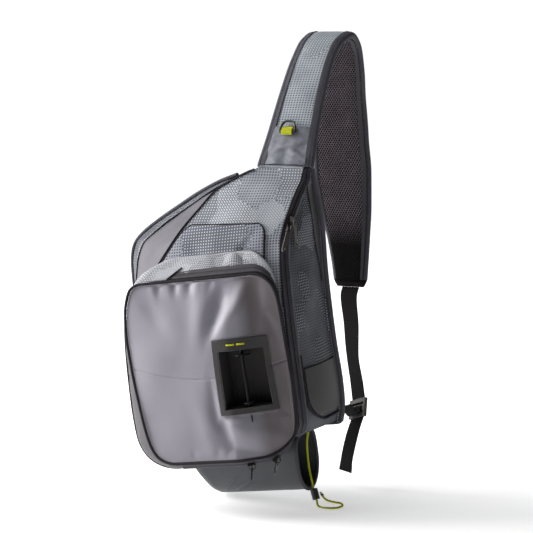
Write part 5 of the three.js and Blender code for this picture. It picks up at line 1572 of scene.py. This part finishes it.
tab = {"width": 15, "thickness": 1.4, "x": 36, "place": 0.066, "rise": 8, "wire": 1.7, "across": 18,
       "high": 13}
tabFloor = strap["pad"] / 2 + 2 * body["seamGap"] + 1 + tab["thickness"] / 2
foldRadius = tab["wire"] + 0.8 + tab["thickness"] / 2
barCentre = strapPoint(tab["place"], 0.5, tabFloor + foldRadius)
barCentre[0] = tab["x"]
strapUp = unit(strapCentre(tab["place"] + 0.01) - strapCentre(tab["place"] - 0.01))
strapAway = np.array([0, -strapUp[2], strapUp[1]])


def onStrap(rise, out, x=0.0):
    return barCentre + strapUp * rise + strapAway * out + np.array([x, 0, 0])


foldTurns = np.radians(np.linspace(-90, -270, 15))
tabLine = np.array([
    onStrap(tab["rise"], -foldRadius), onStrap(tab["rise"] / 2, -foldRadius),
    *[onStrap(foldRadius * math.cos(t), foldRadius * math.sin(t)) for t in foldTurns],
    onStrap(tab["rise"] * 0.45, foldRadius * 0.7), onStrap(tab["rise"], -foldRadius + tab["thickness"] + 0.4),
])
tabLine = evenly(tabLine, 44)
band("strap_tab_webbing", tabLine, np.tile([1.0, 0, 0], (len(tabLine), 1)), tab["width"], tab["thickness"],
     "yellowCord", stands=["strap_tab"], slot="yellow_cord", leaning=False)
ringHalf = tab["across"] / 2 + tab["wire"]
archHeight = tab["high"] + 2 * tab["wire"]
ringPoints = [onStrap(0, 0, ringHalf * s) for s in (-1, -0.8, -0.3, 0.3, 0.8, 1)]
for turnAngle in np.radians(np.linspace(12, 168, 9)):
    reach = math.copysign(abs(math.cos(turnAngle)) ** 0.6, math.cos(turnAngle))
    ringPoints.append(onStrap(archHeight * math.sin(turnAngle), 0, ringHalf * 1.02 * reach))
tube("strap_ring", spline(np.array(ringPoints), 80, True), tab["wire"], "plastic", sides=14, closed=True,
     stands=["d_ring"], slot="hard_plastic", leaning=False)

# Rolled end of the strap, where the webbing goes in
endPlaces = np.linspace(strap["padEnd"] + 0.0012, 1, 22)
endShares = np.linspace(0, 1, 25)[None]
endRun = (endPlaces - endPlaces[0]) / (1 - endPlaces[0])
endAcross = 0.5 + (endShares - 0.5) * lerp(1, 0.82, endRun)[:, None]
endHalf = (3.2 + 2.2 * np.exp(-(((endRun - 0.55) / 0.3) ** 2)) - 1.6 * endRun**3)[:, None]
endCrown = endHalf * (1 - 0.4 * np.abs(2 * endShares - 1) ** 6)
endTop = strapPoint(endPlaces[:, None], endAcross, endCrown)
endFoot = strapPoint(endPlaces[:, None], endAcross, -endCrown)
sheet("strap_end_mesh", endFoot, endTop, "webbing", clothUv(endFoot, 12), stands=["strap_end"],
      slot="webbing", leaning=False)
print("strap fittings made")


# Webbing down to the lock, its tail and its tab: rows are x, y, z, and the x and y of the way across

webRoute = [
    (61, 186, 247, 1, 0),
    (75, 155, 210, 1, -0.1),
    (92, 110, 172, 0.95, -0.3),
    (112, 68, 142, 0.85, -0.5),
    (123, 44, 124, 0.78, -0.6),
]
tailRoute = [
    (126, 29, 98, 0.78, -0.6),
    (121, 27, 82, 0.78, -0.6),
    (116, 27, 62, 0.78, -0.6),
    (111, 29, 40, 0.8, -0.55),
    (108, 31, 20, 0.8, -0.5),
]
lock = {"length": 27, "thickness": 5, "webWidth": 26, "webThickness": 1.8}
webPoints = np.vstack([strapPoint(1, 0.5, 0)[None], [row[:3] for row in webRoute]])
webPoints[0, 2] -= 0.8
webWays = np.array([(1, 0, 0), *[(*row[3:], 0) for row in webRoute]], float)
tailPoints = np.array([row[:3] for row in tailRoute], float)
tailWays = np.array([(*row[3:], 0) for row in tailRoute], float)
lockAlong = unit(tailPoints[0] - webPoints[-1])
lockAcross = unit(webWays[-1] - lockAlong * np.dot(webWays[-1], lockAlong))
lockOut = np.cross(lockAcross, lockAlong)
lockMiddle = (webPoints[-1] + tailPoints[0]) / 2
onLock = lambda along, out, aside=0.0: lockMiddle + lockAlong * along + lockOut * out + lockAcross * aside
webWays[-1] = lockAcross
tailWays[0] = lockAcross
webPoints[-1] = onLock(-lock["length"] / 2 - 0.4, 0)
tailPoints[0] = onLock(lock["length"] / 2 + 0.4, 0)
webLine = spline(webPoints, 70)
webAcross = spline(webWays, 70)
tailLine = spline(tailPoints, 46)
tailAcross = spline(tailWays, 46)
for name, line, across, node in (("upper_web", webLine, webAcross, "upper_webbing"),
                                 ("tail_web", tailLine, tailAcross, "webbing_tail")):
    band(name, line, across, lock["webWidth"], lock["webThickness"], "webbing", columns=8, stands=[node],
         slot="webbing", leaning=False)

# Inside the lock the webbing goes up through one slot, over the middle bar and down through the other
barRows = [(13.5, 0), (9, 0.4), (5.8, 1.6), (2.5, 3.6)]
overBar = [*[onLock(-along, out) for along, out in barRows], onLock(0, 3.9),
           *[onLock(along, out) for along, out in barRows[::-1]]]
band("lock_web", spline(np.array(overBar), 40), np.tile(lockAcross, (40, 1)), lock["webWidth"] - 0.6,
     lock["webThickness"], "webbing", slot="webbing", leaning=False)
seamPoint = toStanding(bindingAt(0.05, 1, 1))
lockSide = np.sign(np.dot(lockOut, seamPoint - lockMiddle))
backOut = lock["thickness"] / 2 + body["seamGap"] + 0.8
onBack = lambda along, out: onLock(along, lockSide * (backOut + out))
reachWay = unit(onBack(0, 0) - seamPoint)
lockTabLine = spline(np.array([seamPoint + reachWay * 7.2, onBack(11, 3), onBack(6, 0), onBack(-2, 0)]), 26)
band("lock_tab_web", lockTabLine, np.tile(lockAcross, (26, 1)), lock["webWidth"] * 0.8, 1.6, "webbing",
     stands=["lock_tab"], slot="webbing", leaning=False)
print("webbing and lock made")


# Hard pieces that keep their solids: a fine bevel and a finish

hardPieces = {
    "ladder_lock": ("lockPlastic", 0.8),
    "main_slider_upper": ("gunmetal", 0.5),
    "main_slider_lower": ("gunmetal", 0.5),
    "pocket_slider_left": ("gunmetal", 0.5),
    "pocket_slider_right": ("gunmetal", 0.5),
    "main_slider_upper_pull": ("pullMetal", 0.3),
    "main_slider_lower_pull": ("pullMetal", 0.3),
    "pocket_slider_left_pull": ("gunmetal", 0.3),
    "pocket_slider_right_pull": ("gunmetal", 0.3),
    "cord_lock": ("plastic", 0.6),
    "cord_tip": ("plastic", 0.4),
    "pocket_back": ("sleeveCoat", 0),
    "spool_well": ("wellCloth", 0),
    "floor_panel": ("sleeveCoat", 0),
}
for node, (finish, bevel) in hardPieces.items():
    thing = cad[node]
    thing.data.materials.clear()
    thing.data.materials.append(finishes[finish])
    if bevel:
        rounded = thing.modifiers.new("rounded", "BEVEL")
        rounded.width = bevel / 1000
        rounded.segments = 2
        rounded.limit_method = "ANGLE"
        rounded.angle_limit = sharpAngle
        rounded.harden_normals = False
print("hard pieces finished")


# Floor and light

floorMesh = bpy.data.meshes.new("floor")
reach = studio["floor"]
floorZ = float(toModel((0, 0, cord["ground"]), False)[2])
floorCorners = [(reach * x, reach * y, floorZ) for x, y in ((-1, -1), (1, -1), (1, 1), (-1, 1))]
floorMesh.from_pydata(floorCorners, [], [(0, 1, 2, 3)])
floorFinish = Finish("paleFloor", roughness=0.9, specular=0.2)
floorPatches = floorFinish.noise(floorFinish.place(), 400)
floorFinish.set("Base Color", floorFinish.mix(floorPatches, (0.9, 0.9, 0.9), (0.92, 0.92, 0.92)))
floorX, floorY = floorFinish.split(floorFinish.place())[:2]
behind = floorY * 0.93 - floorX * 0.36
floorShine = floorFinish.mix(behind.between(-250, 250), (0.5, 0.5, 0.5), (1.0, 1.0, 1.0))
floorFinish.set("Emission Color", floorShine)
floorFinish.set("Emission Strength", studio["glow"])
floorMesh.materials.append(floorFinish.material)
floorThing = bpy.data.objects.new("floor", floorMesh)
bpy.context.scene.collection.objects.link(floorThing)

# The studio is bright behind the bag and on its left, and dim in front of it on the right
world = bpy.data.worlds.new("studio")
world.use_nodes = True
sky = world.node_tree
way = sky.nodes.new("ShaderNodeTexCoord")
toBright = sky.nodes.new("ShaderNodeVectorMath")
toBright.operation = "DOT_PRODUCT"
toBright.inputs[1].default_value = (-0.574, 0.819, 0.0)
sky.links.new(way.outputs["Generated"], toBright.inputs[0])
level = sky.nodes.new("ShaderNodeMapRange")
level.interpolation_type = "SMOOTHSTEP"
levels = {"From Min": 0.25, "From Max": 0.7, "To Min": studio["dim"], "To Max": studio["bright"]}
for name, value in levels.items():
    level.inputs[name].default_value = value
sky.links.new(toBright.outputs["Value"], level.inputs["Value"])
background = sky.nodes["Background"]
background.inputs["Color"].default_value = (0.98, 0.99, 1.0, 1.0)
sky.links.new(level.outputs["Result"], background.inputs["Strength"])
bpy.context.scene.world = world


def softLight(name, place, target, size, power, colour=(1, 1, 1)):
    data = bpy.data.lights.new(name, "AREA")
    data.shape = "RECTANGLE"
    data.size, data.size_y = size
    data.energy = power
    data.color = colour
    lamp = bpy.data.objects.new(name, data)
    bpy.context.scene.collection.objects.link(lamp)
    lamp.location = place
    lamp.rotation_euler = (Vector(target) - Vector(place)).to_track_quat("-Z", "Y").to_euler()


softLight("key", (-2.5, -0.72, 0.45), (0, -0.1, -0.33), (1.1, 1.7), studio["key"], (1.0, 0.985, 0.97))
softLight("top", (-1.3, -0.6, 1.9), (0, -0.05, -0.3), (1.4, 1.4), studio["top"])
bpy.context.scene.view_settings.view_transform = "Standard"
print("floor and light set")
